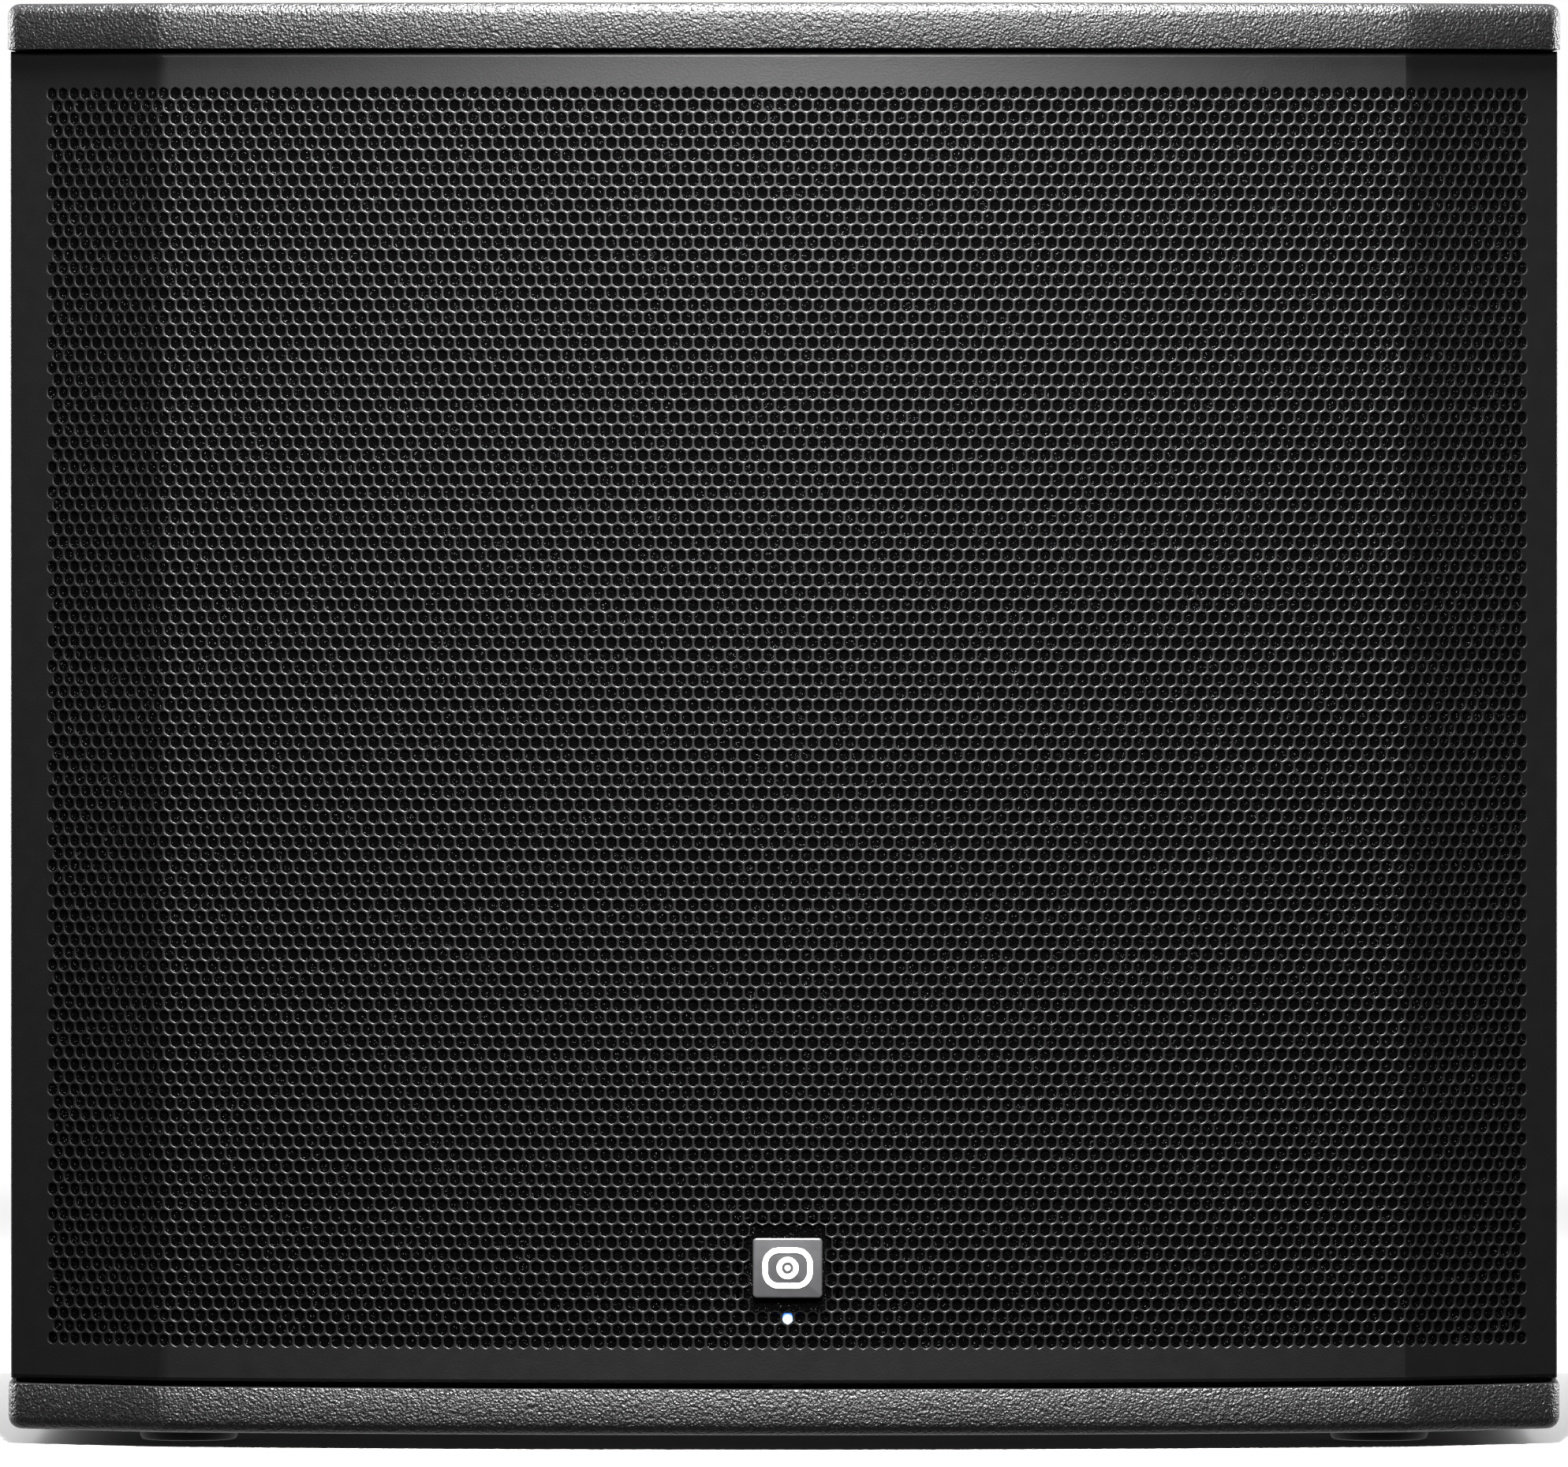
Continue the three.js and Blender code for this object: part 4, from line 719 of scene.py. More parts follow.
def make_finishes():
    f = settings("finish")
    painted_finish(tuple(f.board))
    foam_finish()
    plywood_finish()
    paper_finish()
    board_finish()
    lamp_finish(tuple(f.lamp), f.lamp_strength)
    woven_finish("treated_cloth", (0.012, 0.012, 0.012), (0.05, 0.048, 0.045), 420.0, 0.2 * MM)
    woven_finish("winding", (0.32, 0.10, 0.03), (0.72, 0.30, 0.12), 300.0, 0.2 * MM)
    plastic, steel = tuple(f.plastic), tuple(f.steel)
    grained("powder_coated_steel", steel, 0.42, 1400.0, 0.05 * MM, 0.12, 0.06, Specular_IOR_Level=0.18)
    grained("moulded_plastic", plastic, 0.46, 900.0, 0.10 * MM)
    grained("control_plastic", scaled(plastic, 0.8), 0.38, 1300.0, 0.05 * MM)
    grained("badge_plate", tuple(f.badge), 0.34, 1600.0, 0.02 * MM, Coat_Weight=0.25)
    grained("printed_mark", tuple(f.mark), 0.5, 1500.0, 0.01 * MM, 0.05)
    grained("foot_rubber", (0.018, 0.018, 0.018), 0.72, 700.0, 0.15 * MM)
    grained("black_steel", (0.03, 0.03, 0.032), 0.36, 1100.0, 0.04 * MM, Metallic=0.6)
    grained("zinc_steel", (0.55, 0.56, 0.58), 0.32, 900.0, 0.03 * MM, Metallic=1.0)
    grained("cast_aluminium", (0.48, 0.48, 0.49), 0.45, 650.0, 0.15 * MM, Metallic=0.9)
    grained("anodised_aluminium", (0.028, 0.028, 0.030), 0.40, 1300.0, 0.03 * MM, Metallic=0.35)
    grained("ferrite", (0.045, 0.043, 0.042), 0.55, 500.0, 0.12 * MM)
    grained("lead_jacket", (0.02, 0.02, 0.02), 0.5, 800.0, 0.05 * MM)
    grained("contact_brass", (0.78, 0.60, 0.30), 0.28, 900.0, 0.02 * MM, Metallic=1.0)


def finish_frame():
    """Every CAD node takes the finish of its own slot, except the badge carrier, which takes the foam's."""
    for part in frame["record"]["subparts"]:
        obj = frame["nodes"][part["node"]]
        # The badge carrier takes the foam's black finish, painted glints included.
        look = "acoustic_foam" if part["node"] == "badge_carrier" else part["material_slot"]
        material = bpy.data.materials["finish_" + look]
        for slot in obj.material_slots:
            slot.material = material
        if not obj.material_slots:
            raise RuntimeError(f"{obj.name} has no material slot")


# ------------------------------------------------------------------ pieces


def make_grille():
    g = settings("grille")
    lo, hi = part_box("grille")
    middle, _ = span("badge")
    row, half, flat = hole_places(g, (middle.x, middle.z))
    start_x = hi.x - g.fold * (1 - math.sin(WING))
    run_end = bend_run(GRILLE_INSET) + (start_x - bend_at(GRILLE_INSET)) / math.cos(WING)
    limits = (run_end, lo.z + g.fold, hi.z - g.fold)
    cuts = [-100, -67, -33, 0, 33, 67, 100]  # half columns where one strip of mesh ends
    band = np.digitize(half, cuts)
    for number in range(len(cuts) + 1):
        pick = band == number
        shape = grille_band(g, row[pick], half[pick], flat[pick], limits)
        made = piece(f"grille_mesh_{number + 1}", shape, "powder_coated_steel", sharp=31, weld=False)
    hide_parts("grille")
    piece("grille_folded_rim", folded_edges(g, run_end, lo.z, hi.z), "powder_coated_steel")


def make_boards():
    b = settings("board")
    points, normals = board_plan(b.corner)
    ring = lambda inset, z: level(points - normals * inset, z)
    turn = np.linspace(0, np.pi / 2, 8)
    pole, _ = span("pole_socket")
    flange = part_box("pole_socket")[1].x
    seat, depth, bore = flange + 0.4 * MM, 3.4 * MM, 22 * MM  # recess round the pole socket
    for node, way in (("top_panel", 1), ("bottom_panel", -1)):
        lo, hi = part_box(node)
        outer, inner = (hi.z, lo.z) if way > 0 else (lo.z, hi.z)
        rings = [ring(2 * b.ease, inner), ring(0.3 * b.ease, inner + way * 0.3 * b.ease)]
        rings.append(ring(0, inner + way * b.ease))
        rings += [ring(b.edge * (1 - math.cos(t)), outer - way * b.edge * (1 - math.sin(t))) for t in turn]
        if way > 0:
            steps = [(seat + 0.5 * MM, outer), (seat, outer - 0.5 * MM), (seat, outer - depth),
                     (bore, outer - depth), (bore, inner)]
            rings += [around(points, radius, z, (pole.x, pole.y)) for radius, z in steps]
        shape = Shape().tube(np.array(rings), loop=way > 0)
        piece(node.replace("_panel", "_board"), shape, "painted_board", stands_for=[node])


def make_badge():
    middle, size = span("badge")
    thick, back = size.y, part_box("badge")[1].y
    centre = (middle.x, back, middle.z)
    plate = slab(size.x, size.z, 1.6 * MM, 0, thick, 0.6 * MM)
    piece("badge_plaque", Shape().tube(placed(plate, "front", centre)), "badge_plate", stands_for=["badge"])
    low, high, soft = thick - 0.2 * MM, thick + 0.15 * MM, 0.1 * MM
    mark = Shape()
    band = np.array([(19.6, 16, 6.4, low), (19.6, 16, 6.4, high - soft), (19.4, 15.8, 6.3, high),
                     (15.6, 12, 4.4, high), (15.4, 11.8, 4.3, high - soft), (15.4, 11.8, 4.3, low)])
    ring = np.array([(4.3, low), (4.3, high - soft), (4.2, high), (2.4, high), (2.3, high - soft), (2.3, low)])
    dot = np.array([(1.1, low), (1.1, high - soft), (1.0, high), (0.1, high)])
    mark.tube(placed(stacked(band * (MM, MM, MM, 1), 12), "front", centre), loop=True)
    mark.tube(placed(turned(ring * (MM, 1), 64), "front", centre), loop=True)
    mark.tube(placed(turned(dot * (MM, 1), 40), "front", centre))
    piece("badge_mark", mark, "badge_plate", look="printed_mark")


def make_lamp():
    middle, size = span("led_lens")
    front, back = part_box("led_lens")[0].y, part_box("led_lens")[1].y
    radius, long, dome = size.x / 2 + 0.45 * MM, back - front, 0.9 * MM
    turn = np.linspace(0, np.pi / 2, 9)[:-1]
    cap = [(radius * math.cos(t), long - dome * (1 - math.sin(t))) for t in turn]
    profile = [(radius * 0.9, 0), (radius, 0.3 * MM), *cap, (0.05 * MM, long)]
    rings = placed(turned(profile, 40), "front", (middle.x, back, middle.z + 0.3 * MM))
    piece("lamp_pipe", Shape().tube(rings), "lamp_lens", stands_for=["led_lens"])


def handle_shape(side, centre):
    """A flanged cup as one closed stack of rounded rectangles, from the cup's floor out to the
    flange and back down the outside, and a grip bar whose section swells towards its ends."""
    rows = [
        (150, 46, 10, -68), (194, 84, 13, -68), (199, 89, 15.5, -67.2), (202.6, 92.6, 17.3, -64.8),
        (204, 94, 18, -61), (206, 96, 19, -4), (206.6, 96.6, 19.3, -1.8), (207.8, 97.8, 19.9, -0.6),
        (209.4, 99.4, 20.4, 0),
        (211, 101, 20.8, 0), (211.8, 101.8, 21, -0.5), (212.2, 102.2, 21.1, -1.3), (228.6, 118.6, 19, -1.3),
        (229.2, 119.2, 19.2, -0.5), (230, 120, 19.5, 0), (233.4, 123.4, 20.8, 0), (235.2, 125.2, 21.6, -0.4),
        (236, 126, 22, -1.4), (236, 126, 22, -2.5), (212, 102, 22, -2.6), (212, 102, 22, -69), (206, 96, 19, -71),
    ]
    shape = Shape().tube(placed(stacked(np.array(rows) * MM, 10), side, centre))
    reach, half_high, half_deep = 104.5 * MM, 13 * MM, 9 * MM
    tail = np.linspace(70 * MM, reach, 14)
    along = np.concatenate([-tail[::-1], np.linspace(-60 * MM, 60 * MM, 7), tail])
    swell = 5 * MM * np.clip((np.abs(along) - 84 * MM) / (reach - 84 * MM), 0, 1) ** 2
    unit = rounded(2, 2, 0.92, 9)
    across = unit[:, 0] * (half_deep + swell / 2)[:, None] - (half_deep + swell / 2)[:, None]
    upward = unit[:, 1] * (half_high + swell)[:, None] + 15 * MM
    rings = np.stack([np.repeat(along[:, None], unit.shape[0], 1), upward, across], -1)
    return shape.tube(placed(rings, side, centre))


def make_handles():
    for side, way in (("left", -1), ("right", 1)):
        node = "handle_" + side
        middle, _ = span(node)
        lo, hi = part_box(node)
        face = (way * max(abs(lo.x), abs(hi.x)), middle.y, middle.z)
        piece(node + "_moulding", handle_shape(side, face), "moulded_plastic", stands_for=[node], sharp=40)
        screws = Shape()
        for across in (-98 * MM, 0, 98 * MM):
            for up in (-55.2 * MM, 55.2 * MM):
                at = (face[0] - way * 1.3 * MM, face[1] + across, face[2] + up)
                screw(screws, side, at, 3.6 * MM, 1.2 * MM)
        piece(node + "_screws", screws, "black_steel")


def make_pole_socket():
    lo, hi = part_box("pole_socket")
    middle, _ = span("pole_socket")
    deep = hi.z - lo.z
    profile = np.array([
        (9, -deep / MM), (21, -deep / MM), (21, -3), (48, -3), (48, -1.2), (47.6, -0.4), (46.8, 0), (45, 0),
        (44.2, -0.3), (43.8, -1.3), (27.6, -1.3), (27, -1), (26.2, -0.2), (25.6, 0), (20, 0), (18.8, -0.5),
        (18, -2), (18, 14 - deep / MM), (9.8, 14 - deep / MM),
    ]) * MM
    ridges = np.linspace(14 * MM - deep, -deep, 19)
    thread = np.c_[np.where(np.arange(19) % 2, 9.8 * MM, 9 * MM), ridges]
    rings = placed(turned(np.concatenate([profile, thread]), 96), "top", (middle.x, middle.y, hi.z))
    piece("pole_cup", Shape().tube(rings, loop=True), "black_steel", stands_for=["pole_socket"])
    screws = Shape()
    circle, sunk = 35.5 * MM, 1.3 * MM
    for bearing in np.radians([45, 135, 225, 315]):
        at = (middle.x + circle * math.cos(bearing), middle.y + circle * math.sin(bearing), hi.z - sunk)
        screw(screws, "top", at, 4.2 * MM, 1.3 * MM)
    piece("pole_screws", screws, "black_steel")


def make_feet():
    screws = Shape()
    profile = [
        (5.6, 3.4), (6, 3), (6, 0.5), (6.6, 0.1), (7.4, 0), (11.6, 0), (12, 0.7), (13, 0.7), (13.4, 0),
        (17.2, 0), (18.4, 0.3), (19, 1.1), (19.9, 5.2), (19.9, 5.7), (0.3, 5.7), (0.3, 3.4),
    ]
    for node in ("foot_front_left", "foot_front_right", "foot_rear_left", "foot_rear_right"):
        middle, _ = span(node)
        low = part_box(node)[0].z
        shape = Shape().revolve(profile, 64, "top", (middle.x, middle.y, low), loop=True)
        piece(node + "_pad", shape, "foot_rubber", stands_for=[node])
        screw(screws, "under", (middle.x, middle.y, low + 3.4 * MM), 5 * MM, 1.8 * MM)
    piece("foot_screws", screws, "zinc_steel")


def make_heatsink():
    lo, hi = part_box("heatsink")
    fins, thick, base, tip = 19, 2.6 * MM, 4 * MM, 0.9 * MM
    left = lo.x + np.arange(fins) * (hi.x - lo.x - thick) / (fins - 1)
    turn = np.linspace(0, np.pi / 2, 4)
    out = hi.y - lo.y
    rise = [base, base + 0.5 * MM, *(out - tip + tip * np.sin(turn))]
    inset = [-0.5 * MM, 0, *(tip * (1 - np.cos(turn)))]
    rise = np.broadcast_to(rise, (fins, len(rise)))
    near = np.stack([left[:, None] + inset, rise], -1)
    far = np.stack([left[:, None] + thick - np.array(inset), rise], -1)[:, ::-1]
    comb = np.concatenate([near, far], 1).reshape(-1, 2)
    comb[0, 0], comb[-1, 0] = lo.x, hi.x
    outline = np.concatenate([[(lo.x, 0)], comb, [(hi.x, 0)]])
    ease = 0.4 * MM
    rings = [np.c_[outline[:, 0], lo.y + np.maximum(outline[:, 1] - cut, 0), np.full(len(outline), z)]
             for z, cut in ((lo.z, ease), (lo.z + ease, 0), (hi.z - ease, 0), (hi.z, ease))]
    shape = Shape().tube(np.array(rings))
    piece("heatsink_fins", shape, "anodised_aluminium", stands_for=["heatsink"], sharp=40)


def make_panel_screws():
    lo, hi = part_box("amp_plate")
    middle, _ = span("amp_plate")
    edge = 8 * MM
    side_z = np.linspace(lo.z + edge, hi.z - edge, 5)
    spots = [(x, z) for x in (lo.x + edge, hi.x - edge) for z in side_z]
    spots += [(middle.x, side_z[0]), (middle.x, side_z[-1])]
    screws = Shape()
    for x, z in spots:
        screw(screws, "rear", (x, hi.y, z), 3.8 * MM, 2.2 * MM)
    edge = 2.9 * MM
    for node in ("combo_input_1", "combo_input_2", "link_output_1", "link_output_2"):
        (lo, hi), (at, box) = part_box(node), span(node)
        for sx, sz in ((-1, 1), (1, -1)):
            here = (at.x + sx * (box.x / 2 - edge), hi.y, at.z + sz * (box.z / 2 - edge))
            screw(screws, "rear", here, 1.7 * MM, 0.9 * MM)
    (lo, hi), (at, box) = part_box("mains_inlet"), span("mains_inlet")
    for sx in (-1, 1):
        here = (at.x + sx * (box.x / 2 - 3.2 * MM), hi.y, at.z + 4 * MM)
        screw(screws, "rear", here, 2.2 * MM, 1.1 * MM)
    piece("panel_screws", screws, "black_steel")


def make_contacts(name, profile, ring, centre, loop):
    """Three contacts, a third of a turn apart on a ring round a socket's middle."""
    shape, (x, y, z) = Shape(), centre
    for bearing in np.radians([30, 150, 270]):
        spot = (x + ring * math.cos(bearing), y, z + ring * math.sin(bearing))
        shape.revolve(profile, 24, "rear", spot, loop)
    piece(name, shape, "zinc_steel", look="contact_brass")


def make_combo(number):
    node = f"combo_input_{number}"
    at, _ = span(node)
    centre = (at.x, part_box(node)[1].y, at.z)
    bezel = [(4.2, -20), (4.2, -0.4), (4.6, 0.15), (5.6, 0.25), (6.2, 0), (6.2, -0.2), (4.9, -0.3), (4.9, -20)]
    rim = [(9.7, -0.2), (9.7, 0.5), (9.95, 0.8), (10.35, 0.8), (10.6, 0.5), (10.6, -0.2)]
    trim = Shape().revolve(bezel, 48, "rear", centre, loop=True)
    trim.revolve(rim, 96, "rear", centre, loop=True)
    piece(f"combo_trim_{number}", trim, "control_plastic")
    sleeve = [(0.9, -0.2), (0.9, 0.25), (1.15, 0.45), (1.5, 0.45), (1.7, 0.2), (1.7, -0.2)]
    make_contacts(f"combo_contacts_{number}", sleeve, 8 * MM, centre, loop=True)


def make_link(number):
    """A flange whose outline turns from a rounded rectangle to circles down the socket's well."""
    node = f"link_output_{number}"
    at, box = span(node)
    centre = (at.x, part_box(node)[1].y, at.z)
    outline = rounded(box.x, box.z, 3 * MM, 12)
    flange = np.array([(0, -2), (0, -0.5), (0.15, -0.15), (0.5, 0)]) * MM
    well = np.array([
        (10.9, 0), (10.7, 0.6), (10.4, 0.8), (10, 0.8), (9.6, 0.3), (9.6, -13), (0.4, -13), (0.4, -24),
        (11.6, -24), (11.6, -2),
    ]) * MM
    rings = [level(rounded(box.x - 2 * by, box.z - 2 * by, 3 * MM - by, 12), z) for by, z in flange]
    rings += [around(outline, radius, z) for radius, z in well]
    shape = Shape().tube(placed(rings, "rear", centre), loop=True)
    piece(f"link_socket_{number}", shape, "moulded_plastic", stands_for=[node])
    pin = [(1.2, -13.2), (1.2, -3.4), (1.05, -2.9), (0.7, -2.5), (0.2, -2.35)]
    make_contacts(f"link_pins_{number}", pin, 5.2 * MM, centre, loop=False)


def make_release_key(number):
    node = f"release_tab_{number}"
    at, box = span(node)
    tab = slab(box.x, box.z, 0.7 * MM, 0, box.y, 0.5 * MM)
    shape = Shape().tube(placed(tab, "rear", (at.x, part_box(node)[0].y, at.z)))
    piece(f"release_key_{number}", shape, "zinc_steel", body=node, stands_for=[node])


def make_inlet():
    at, _ = span("mains_inlet")
    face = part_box("mains_inlet")[1].y
    blades, trim = Shape(), Shape()
    wide, tall = 2 * MM, 6 * MM
    for x, z in ((-7, -16.5), (0, -12.4), (7, -16.5)):
        blade = slab(wide, tall, 0.6 * MM, -17.2 * MM, -3.5 * MM, 0.6 * MM, 4)
        blades.tube(placed(blade, "rear", (at.x + x * MM, face, at.z + z * MM)))
    piece("inlet_blades", blades, "zinc_steel")
    round_rocker = [(24.6, 16.2, 1.6, -0.2), (24.6, 16.2, 1.6, 0.5), (24.1, 15.7, 1.4, 0.8),
                    (22.4, 14, 1, 0.8), (22, 13.6, 0.8, 0.4), (22, 13.6, 0.8, -0.2)]
    round_blades = [(29.6, 21.8, 4.6, -0.2), (29.6, 21.8, 4.6, 0.6), (29, 21.2, 4.4, 1),
                    (26, 18.2, 3.4, 1), (25.2, 17.4, 3.2, 0.6), (25.2, 17.4, 3.2, -0.2)]
    for rows, lift in ((round_rocker, 17 * MM), (round_blades, -15 * MM)):
        rings = stacked(np.array(rows) * MM)
        trim.tube(placed(rings, "rear", (at.x, face, at.z + lift)), loop=True)
    piece("inlet_trim", trim, "moulded_plastic")


def make_sockets():
    for number in (1, 2):
        make_combo(number)
        make_link(number)
        make_release_key(number)
    make_inlet()


def make_knob(face):
    """Rings of (radius, height) whose radius dips between the ribs by a share of the rib's depth
    times half of one less the cosine of the rib count times the bearing."""
    at, _ = span("level_knob")
    rib, ribs = 0.55 * MM, 24
    angle = np.arange(ribs * 8) * 2 * np.pi / (ribs * 8)
    groove = 0.5 - 0.5 * np.cos(ribs * angle)
    rows = [
        (3.0, -12, 0), (3.0, 1.2, 0), (8.2, 1.2, 0), (8.9, 1.5, 0.3), (9, 2.4, 1), (8.8, 11, 1),
        (8.5, 12, 0.8), (7.9, 12.8, 0.3), (7, 13.15, 0), (6.6, 13.2, 0), (5.9, 12.9, 0), (2.5, 12.8, 0),
    ]
    rings = []
    for radius, z, share in rows:
        there = radius * MM - rib * share * groove
        rings.append(np.c_[there * np.cos(angle), there * np.sin(angle), np.full(len(angle), z * MM)])
    shape = Shape().tube(placed(np.array(rings), "rear", (at.x, face, at.z)))
    piece("level_dial", shape, "control_plastic", body="level_knob", stands_for=["level_knob"])
    line = slab(1.2 * MM, 6.4 * MM, 0.5 * MM, 12.5 * MM, 13.1 * MM, 0.2 * MM, 5)
    shape = Shape().tube(placed(line, "rear", (at.x, face, at.z + 3.6 * MM)))
    piece("level_pointer", shape, "control_plastic", body="level_knob", look="printed_mark")


def make_controls():
    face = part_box("amp_plate")[1].y
    make_knob(face)
    at, _ = span("level_knob")
    marks, trim = Shape(), Shape()
    circle = 11.6 * MM
    for number, bearing in enumerate(np.radians(np.linspace(-150, 150, 11))):
        long = 3.2 * MM if number % 5 == 0 else 2 * MM
        tick = slab(0.6 * MM, long, 0.28 * MM, -0.05 * MM, 0.12 * MM, 0.06 * MM, 4)
        tick[..., 1] += circle + long / 2
        cos, sin = math.cos(bearing), math.sin(bearing)
        spin = np.array([[cos, -sin, 0], [sin, cos, 0], [0, 0, 1]])
        marks.tube(placed(tick @ spin, "rear", (at.x, face, at.z)))
    ring = [(5.6, -0.05), (5.6, 0.1), (5.3, 0.1), (5.3, -0.05)]
    collar = [(3.95, -2.5), (3.95, 0.7), (4.1, 0.9), (4.5, 0.9), (4.8, 0.6), (4.8, -0.1)]
    for node in ("polarity_button", "highpass_button"):
        at, _ = span(node)
        centre = (at.x, face, at.z)
        out = (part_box(node)[1].y - face) / MM
        cap = [(3.3, -9.8), (3.5, -9.6), (3.5, out - 0.8), (3.35, out - 0.3), (2.9, out - 0.03),
               (2.4, out - 0.1), (0.4, out - 0.35)]
        shape = Shape().revolve(cap, 48, "rear", centre)
        piece(node + "_cap", shape, "control_plastic", body=node, stands_for=[node])
        marks.revolve(ring, 48, "rear", centre, loop=True)
        trim.revolve(collar, 48, "rear", centre, loop=True)
    piece("panel_marks", marks, "anodised_aluminium", look="printed_mark", sharp=60)
    piece("button_collars", trim, "zinc_steel")
    make_rocker()


def make_rocker():
    """The rocker is an outline in plan carried up its height: two faces that meet in a shallow
    valley on the pivot line, turned by its resting tilt, with every section's edges drawn in
    near the ends."""
    pivot = [j for j in frame["joints"] if j["name"] == "power_rock"][0]["pos_m"]
    tilt = math.radians(8)
    across = np.linspace(-9.4, 9.4, 21)
    top = 3.35 + 0.45 * (np.abs(across) / 9.4) ** 1.5
    outline = np.concatenate([np.c_[across, top], [(9.4, -3.6), (-9.4, -3.6)]]) * MM
    turn = np.array([[math.cos(tilt), math.sin(tilt)], [-math.sin(tilt), math.cos(tilt)]])
    rings = []
    for z, share in ((-5.4, 0.97), (-5.1, 0.995), (-4.7, 1), (4.7, 1), (5.1, 0.995), (5.4, 0.97)):
        plan = outline * share @ turn + np.array([pivot[0], pivot[1]])
        rings.append(level(plan, pivot[2] + z * MM))
    node = "power_switch"
    piece("power_rocker", Shape().tube(np.array(rings)), "control_plastic", body=node, stands_for=[node])
    signs = Shape()
    bar = slab(0.7 * MM, 4 * MM, 0.3 * MM, 3.3 * MM, 3.75 * MM, 0.1 * MM, 4)
    bar[..., 0] += 5.4 * MM
    loop = turned(np.array([(2, 3.3), (2, 3.75), (1.4, 3.75), (1.4, 3.3)]) * MM, 32)
    loop[..., 0] -= 5.4 * MM
    for rings, closed in ((bar, False), (loop, True)):
        plan = rings[..., [0, 2]] @ turn
        there = np.stack([plan[..., 0] + pivot[0], plan[..., 1] + pivot[1], rings[..., 1] + pivot[2]], -1)
        signs.tube(there, loop=closed)
    piece("power_signs", signs, "control_plastic", body=node, look="printed_mark", sharp=60)


# ------------------------------------------------------------------- stage


def pale_floor():
    """A pale floor, a flat grid of X and Y, with a pale wall round the camera's side of it: a
    sheet of angle and height. Far from the cabinet both glow a little, as a lit studio's do."""
    shape = Shape()
    line = np.linspace(-40.0, 40.0, 9)
    floor = np.stack([*np.meshgrid(line, line, indexing="ij"), np.zeros((9, 9))], -1)
    bearing, radius = np.radians(np.linspace(135, 405, 49)), 24.0
    angle, height = np.meshgrid(bearing, np.linspace(0, 20, 5), indexing="ij")
    wall = np.stack([radius * np.cos(angle), radius * np.sin(angle), height], -1)
    for sheet in (floor, wall):
        index = np.arange(sheet[..., 0].size).reshape(sheet.shape[:2])
        quads = np.stack([index[:-1, :-1], index[1:, :-1], index[1:, 1:], index[:-1, 1:]], -1)
        shape.add(sheet, quads.reshape(-1, 4))
    obj = bpy.data.objects.new("studio_floor", shape.mesh("studio_floor", 60, False))
    bpy.context.scene.collection.objects.link(obj)
    finish = Finish("studio_paper", Specular_IOR_Level=0.1, Emission_Strength=0.75)
    drift = finish.noise(3.0, 3.0)
    away = finish.vector("LENGTH", {0: finish.place()}, 1)
    clamped = {"operation": "MULTIPLY_ADD", "use_clamp": True}
    far = finish.node("ShaderNodeMath", clamped, {0: away, 1: 0.6, 2: -0.54})
    finish.feed("Base Color", finish.mix(drift, (0.70, 0.70, 0.70), (0.74, 0.74, 0.74)))
    finish.feed("Roughness", 0.8 + 0.1 * drift)
    finish.feed("Emission Color", finish.mix(far, (0, 0, 0), (1, 1, 1)))
    obj.data.materials.append(finish.material)
    obj.visible_diffuse = obj.visible_glossy = False


def studio_air(front, back):
    """Even light from all round that grows from the camera's side to the far side."""
    world = bpy.data.worlds.new("studio_air")
    world.use_nodes = True
    tree = world.node_tree
    way = tree.nodes.new("ShaderNodeTexCoord")
    axes = tree.nodes.new("ShaderNodeSeparateXYZ")
    grow = tree.nodes.new("ShaderNodeMapRange")
    for socket, value in (("From Min", -0.2), ("From Max", 0.7), ("To Min", front), ("To Max", back)):
        grow.inputs[socket].default_value = value
    tree.links.new(way.outputs["Generated"], axes.inputs[0])
    tree.links.new(axes.outputs["Y"], grow.inputs["Value"])
    tree.links.new(grow.outputs["Result"], tree.nodes["Background"].inputs["Strength"])
    tree.nodes["Background"].inputs["Color"].default_value = (1, 1, 1, 1)
    bpy.context.scene.world = world


def soft_box(name, place, aim, size, power, spread=180):
    data = bpy.data.lights.new(name, "AREA")
    data.spread = math.radians(spread)
    data.shape, data.size, data.size_y, data.energy = "RECTANGLE", size[0], size[1], power
    obj = bpy.data.objects.new(name, data)
    bpy.context.scene.collection.objects.link(obj)
    obj.location = place
    obj.rotation_mode = "QUATERNION"
    obj.rotation_quaternion = (Vector(aim) - Vector(place)).to_track_quat("-Z", "Y")


def make_stage():
    s = settings("stage")
    pale_floor()
    soft_box("key_box", (0, FRONT_Y - 1.1, 0.95), (0, FRONT_Y, 0.40), (0.45, 0.35), s.key, 90)
    soft_box("overhead_box", (0, FRONT_Y - 0.45, 1.75), (0, FRONT_Y - 0.1, 0.3), (0.5, 0.6), s.fill, 90)
    for side, way in (("left", -1), ("right", 1)):
        place, aim = (way * 1.4, FRONT_Y + 1.0, 0.6), (way * HALF_X, FRONT_Y, 0.3)
        soft_box("rim_box_" + side, place, aim, (0.5, 0.9), s.rim)
    studio_air(s.sky, s.backdrop)
    data = bpy.data.cameras.new("studio_camera")
    data.lens = data.sensor_width * s.distance / s.field
    data.clip_start, data.clip_end = 0.1, 120.0
    camera = bpy.data.objects.new("studio_camera", data)
    bpy.context.scene.collection.objects.link(camera)
    camera.location = (0, FRONT_Y - s.distance, s.height)
    camera.rotation_mode = "QUATERNION"
    line = Vector((0, FRONT_Y, s.aim)) - camera.location
    camera.rotation_quaternion = line.to_track_quat("-Z", "Y")
    bpy.context.scene.camera = camera
    bpy.context.scene.view_settings.view_transform = "Standard"


# --------------------------------------------------------------- operators


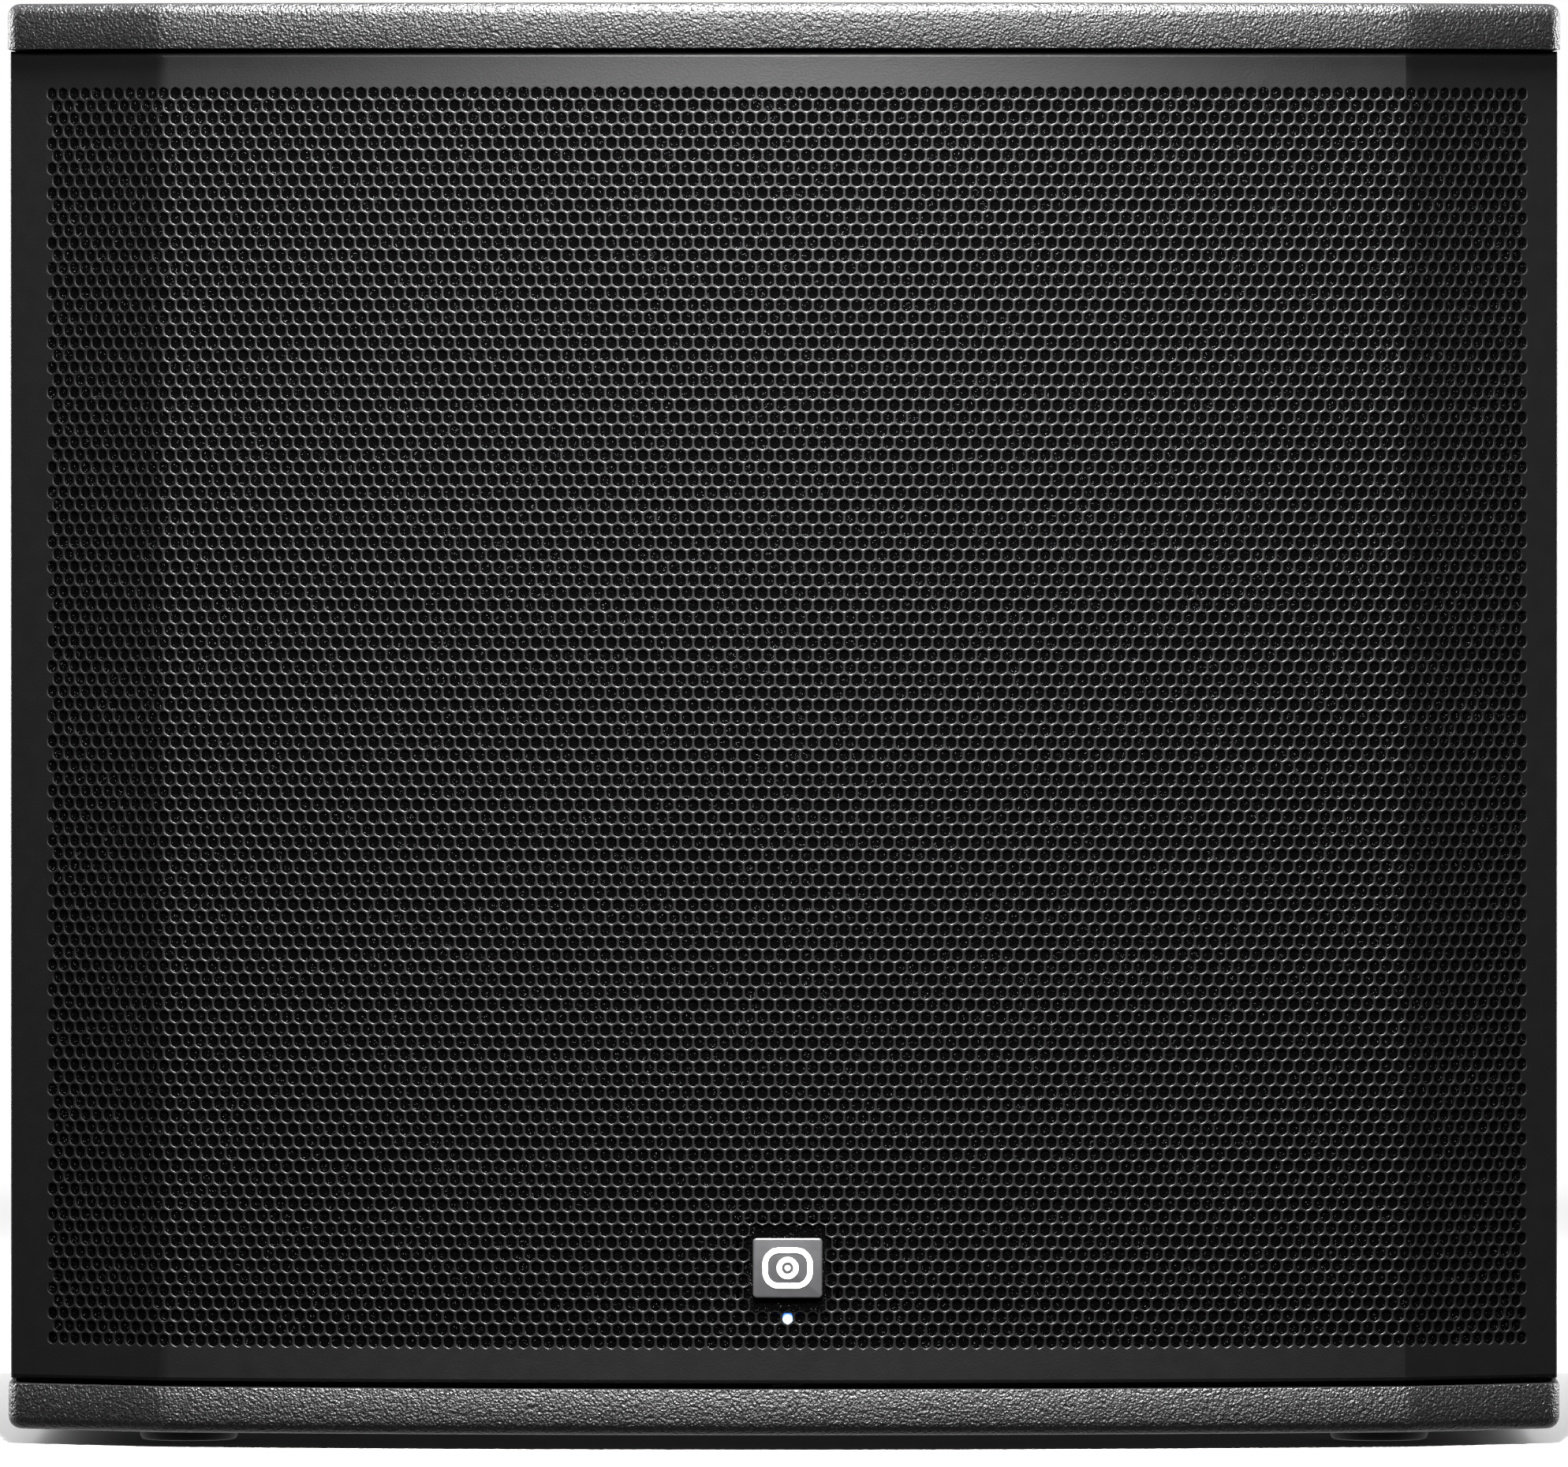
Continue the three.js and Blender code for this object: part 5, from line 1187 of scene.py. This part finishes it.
class SUBWOOFER_OT_finishes(Operator):
    """Makes the finishes and gives every part of the frame its own"""

    bl_idname, bl_label = "subwoofer.finishes", "Finishes"

    def execute(self, context):
        make_finishes()
        finish_frame()
        return {"FINISHED"}


class SUBWOOFER_OT_boards(Operator):
    """Makes the rounded top and bottom boards"""

    bl_idname, bl_label = "subwoofer.boards", "Top and bottom boards"

    def execute(self, context):
        make_boards()
        return {"FINISHED"}


class SUBWOOFER_OT_grille(Operator):
    """Makes the perforated grille with its folded rim"""

    bl_idname, bl_label = "subwoofer.grille", "Grille"

    def execute(self, context):
        make_grille()
        return {"FINISHED"}


class SUBWOOFER_OT_badge(Operator):
    """Makes the badge and its mark"""

    bl_idname, bl_label = "subwoofer.badge", "Badge"

    def execute(self, context):
        make_badge()
        return {"FINISHED"}


class SUBWOOFER_OT_lamp(Operator):
    """Makes the lit lamp behind the grille"""

    bl_idname, bl_label = "subwoofer.lamp", "Lamp"

    def execute(self, context):
        make_lamp()
        return {"FINISHED"}


class SUBWOOFER_OT_handles(Operator):
    """Makes the two recessed handles and their screws"""

    bl_idname, bl_label = "subwoofer.handles", "Handles"

    def execute(self, context):
        make_handles()
        return {"FINISHED"}


class SUBWOOFER_OT_pole_socket(Operator):
    """Makes the pole socket in the top board"""

    bl_idname, bl_label = "subwoofer.pole_socket", "Pole socket"

    def execute(self, context):
        make_pole_socket()
        return {"FINISHED"}


class SUBWOOFER_OT_feet(Operator):
    """Makes the four rubber feet and their screws"""

    bl_idname, bl_label = "subwoofer.feet", "Feet"

    def execute(self, context):
        make_feet()
        return {"FINISHED"}


class SUBWOOFER_OT_amplifier(Operator):
    """Makes the heatsink and the screws of the amplifier panel"""

    bl_idname, bl_label = "subwoofer.amplifier", "Amplifier panel"

    def execute(self, context):
        make_heatsink()
        make_panel_screws()
        return {"FINISHED"}


class SUBWOOFER_OT_sockets(Operator):
    """Makes the sockets' contacts, release keys and the mains blades"""

    bl_idname, bl_label = "subwoofer.sockets", "Sockets"

    def execute(self, context):
        make_sockets()
        return {"FINISHED"}


class SUBWOOFER_OT_controls(Operator):
    """Makes the level knob, the buttons, the power rocker and the marks round them"""

    bl_idname, bl_label = "subwoofer.controls", "Controls"

    def execute(self, context):
        make_controls()
        return {"FINISHED"}


class SUBWOOFER_OT_stage(Operator):
    """Makes the floor and wall, the soft lights and the camera"""

    bl_idname, bl_label = "subwoofer.stage", "Stage"

    def execute(self, context):
        make_stage()
        return {"FINISHED"}


OPERATORS = (
    SUBWOOFER_OT_stage, SUBWOOFER_OT_finishes, SUBWOOFER_OT_boards, SUBWOOFER_OT_grille, SUBWOOFER_OT_badge,
    SUBWOOFER_OT_lamp, SUBWOOFER_OT_handles, SUBWOOFER_OT_pole_socket, SUBWOOFER_OT_feet,
    SUBWOOFER_OT_amplifier, SUBWOOFER_OT_sockets, SUBWOOFER_OT_controls,
)
GROUPS = {"grille": GrilleSettings, "board": BoardSettings, "finish": FinishSettings, "stage": StageSettings}


class SUBWOOFER_PT_panel(Panel):
    """Lists the cabinet's settings and the steps that build it"""

    bl_idname, bl_label = "SUBWOOFER_PT_panel", "Subwoofer cabinet"
    bl_space_type, bl_region_type, bl_category = "VIEW_3D", "UI", "Subwoofer"

    def draw(self, context):
        for operator in OPERATORS:
            self.layout.operator(operator.bl_idname)
        for name, group in GROUPS.items():
            box = self.layout.box()
            for key in group.__annotations__:
                box.prop(settings(name), key)


def register():
    for cls in (*GROUPS.values(), *OPERATORS, SUBWOOFER_PT_panel):
        bpy.utils.register_class(cls)
    for name, group in GROUPS.items():
        setattr(bpy.types.Scene, "subwoofer_" + name, PointerProperty(type=group))


def unregister():
    for name in GROUPS:
        delattr(bpy.types.Scene, "subwoofer_" + name)
    for cls in (SUBWOOFER_PT_panel, *OPERATORS[::-1], *reversed(GROUPS.values())):
        bpy.utils.unregister_class(cls)


def main():
    register()
    for operator in OPERATORS:
        getattr(bpy.ops.subwoofer, operator.bl_idname.split(".")[1])()


if __name__ == "__main__":
    main()
